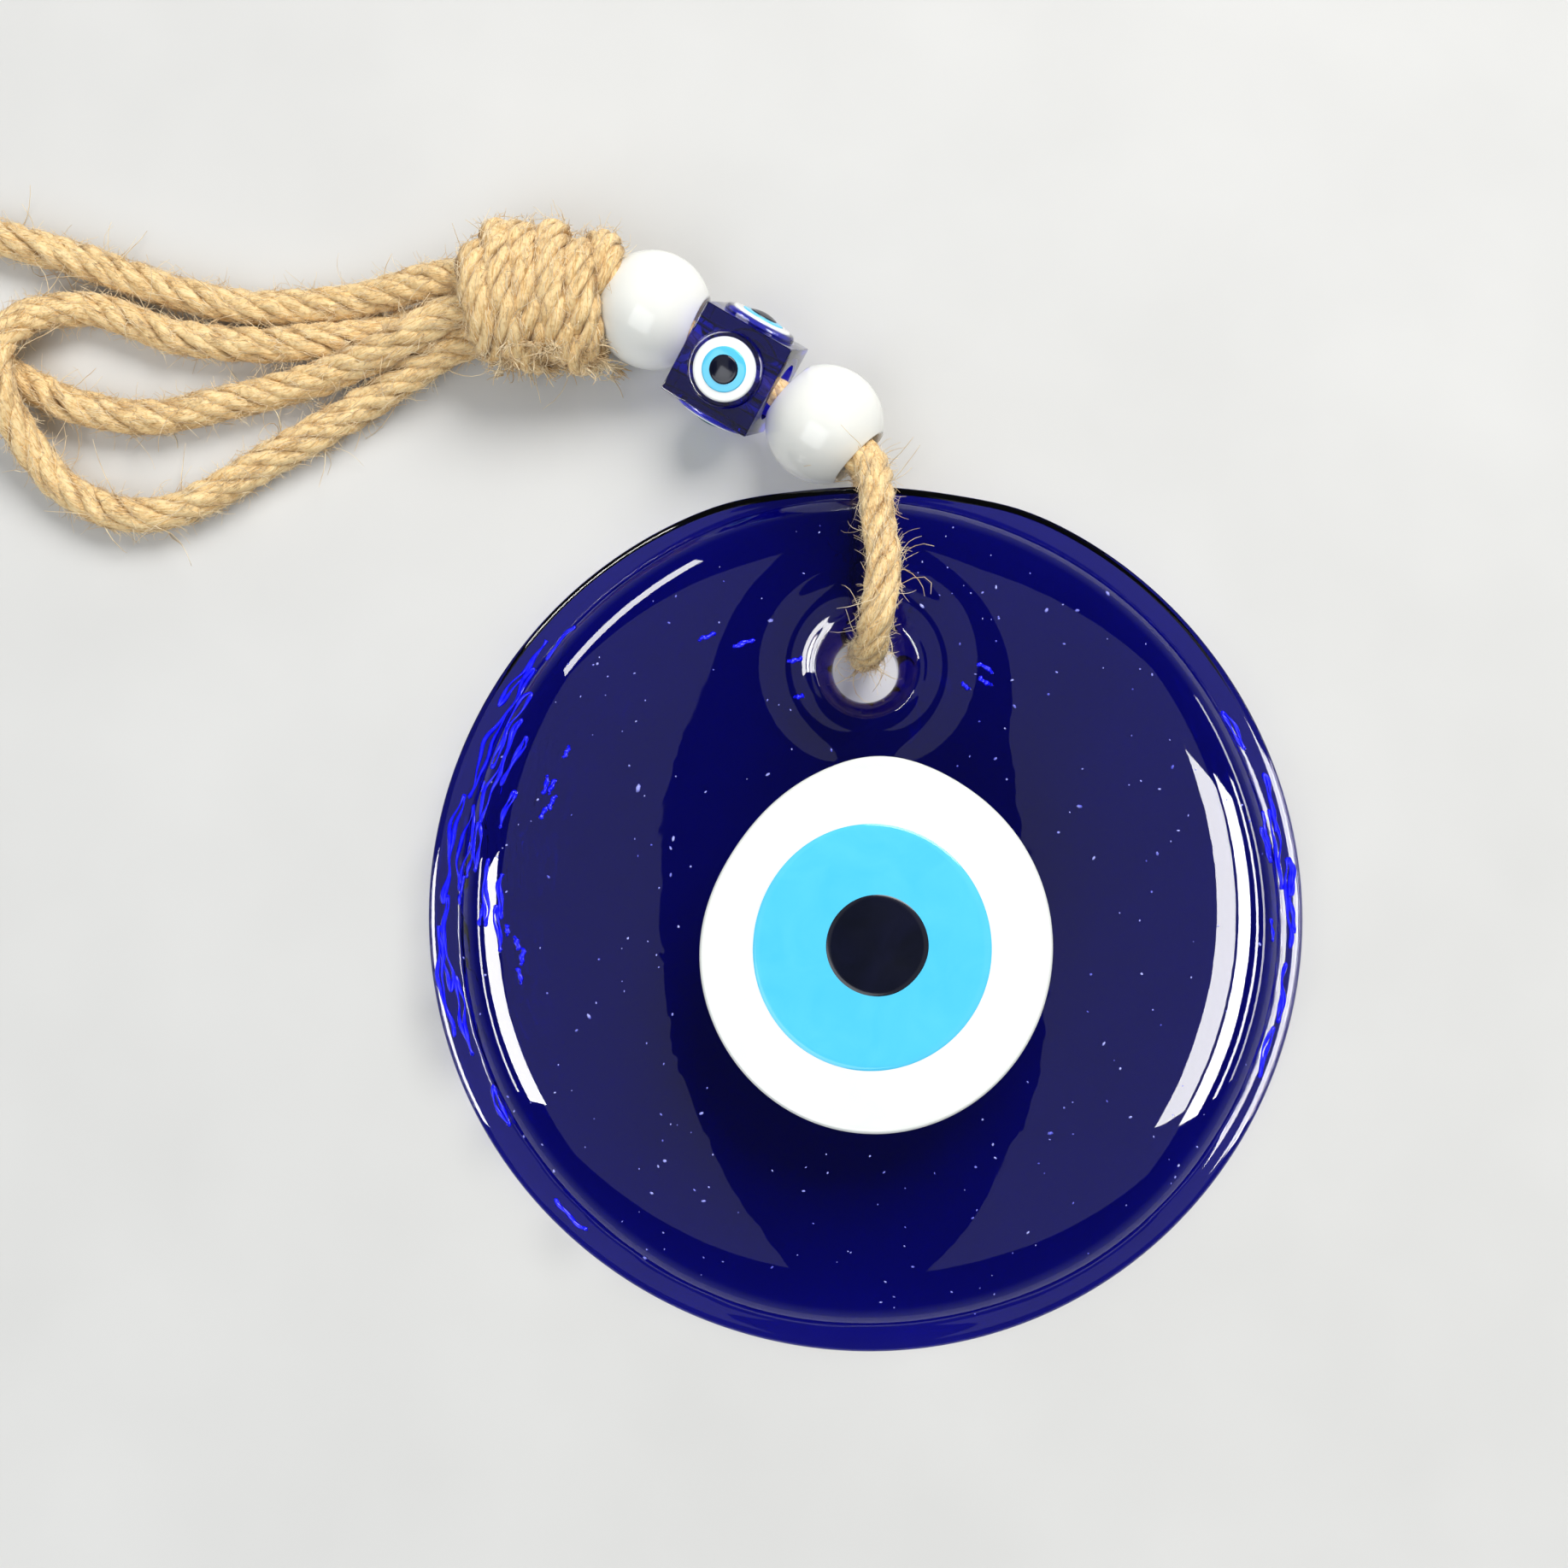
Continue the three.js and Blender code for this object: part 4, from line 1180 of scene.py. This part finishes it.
TAILS = (
    ((-40.6, 69.0, 10.0), (-40.4, 66.8, 8.6), (-39.6, 65.9, 6.2), (-38.6, 66.0, 4.4)),
    ((-34.6, 68.8, 10.0), (-34.3, 66.4, 8.6), (-33.6, 65.5, 6.4), (-32.6, 65.8, 4.6)),
)


def make_frayed_ends(jute, hair):
    """Two cut ends tucked under the wraps, opened out into loose fibre."""
    for order, route in enumerate(TAILS):
        name = f"jute_tail_{order + 1}"
        points = catmull([tuple(p) for p in np.array(route) * MM + ROUTE_ORIGIN], 0.25 * MM)
        tail = cord_object(name, points, 3.6 * MM, jute, 151 + order, 0.5 * order, lay=12 * MM)
        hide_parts(f"cord_tail_{order + 1}")
        rng = np.random.default_rng(161 + order)
        tufts, count = 90, 1100
        index = rng.integers(len(points) // 3, len(points), tufts)
        tuft_roots = points[index] + rng.normal(size=(tufts, 3)) * (1.9, 0.7, 1.2) * MM
        tuft_ways = rng.normal(size=(tufts, 3)) * (1.2, 0.45, 0.7) + (0.2, -0.25, 0.15)
        tuft = rng.integers(0, tufts, count)
        roots = tuft_roots[tuft] + rng.normal(size=(count, 3)) * 0.22 * MM
        directions = tuft_ways[tuft] + rng.normal(size=(count, 3)) * 0.28
        lengths = (rng.gamma(2.2, 0.5, count) + 0.5) * MM
        hairs_object(f"{name}_fray", roots, directions, lengths, np.full(count, 0.085) * MM,
                     np.full((count, 1), 0.6), rng, hair)


# ---- Build ----
def main():
    add_camera()
    gloss, matte, cube = (bpy.data.collections.new(name) for name in ("gloss", "matte", "cube"))
    add_studio(gloss, matte, cube)
    matte.objects.link(add_floor())
    jute, hair = jute_material(), hair_material()
    make_free_cords(jute, hair)
    make_bead_pair(jute)
    make_knot(jute, hair)
    make_disc(tinted_glass("navy_glass_deep", (0.22, 0.23, 0.37), (0.02, 0.005, 0.89), 1000, 60, 0.03 * MM))
    make_seeds()
    make_painted_caustics()
    white, blue, black = make_eye()
    bead_white = opaque_glass("bead_porcelain", [(0.3, (0.84, 0.85, 0.81)), (0.7, (0.88, 0.88, 0.83))],
                              roughness=0.09, subsurface=0.15, grain=70)
    make_bead("bead_glass_upper", "bead_upper", "upper_bead", "upper_bead_spin", bead_white, 0.3)
    make_bead("bead_glass_lower", "bead_lower", "lower_bead", "lower_bead_spin", bead_white, 1.8)
    make_cube(tinted_glass("cobalt_glass_clear", (0.30, 0.34, 0.85), (0.04, 0.01, 0.86), 1150, 90, 0.02 * MM))
    make_small_eyes(white, blue, black)
    for obj in bpy.context.scene.objects:
        if obj.type == "MESH" and "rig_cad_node" not in obj and obj.name != "floor":
            lit_by = gloss if obj.name in ("disc_glass", "cube_glass") else matte
            lit_by.objects.link(obj)
    cube.objects.link(bpy.data.objects["cube_glass"])


main()
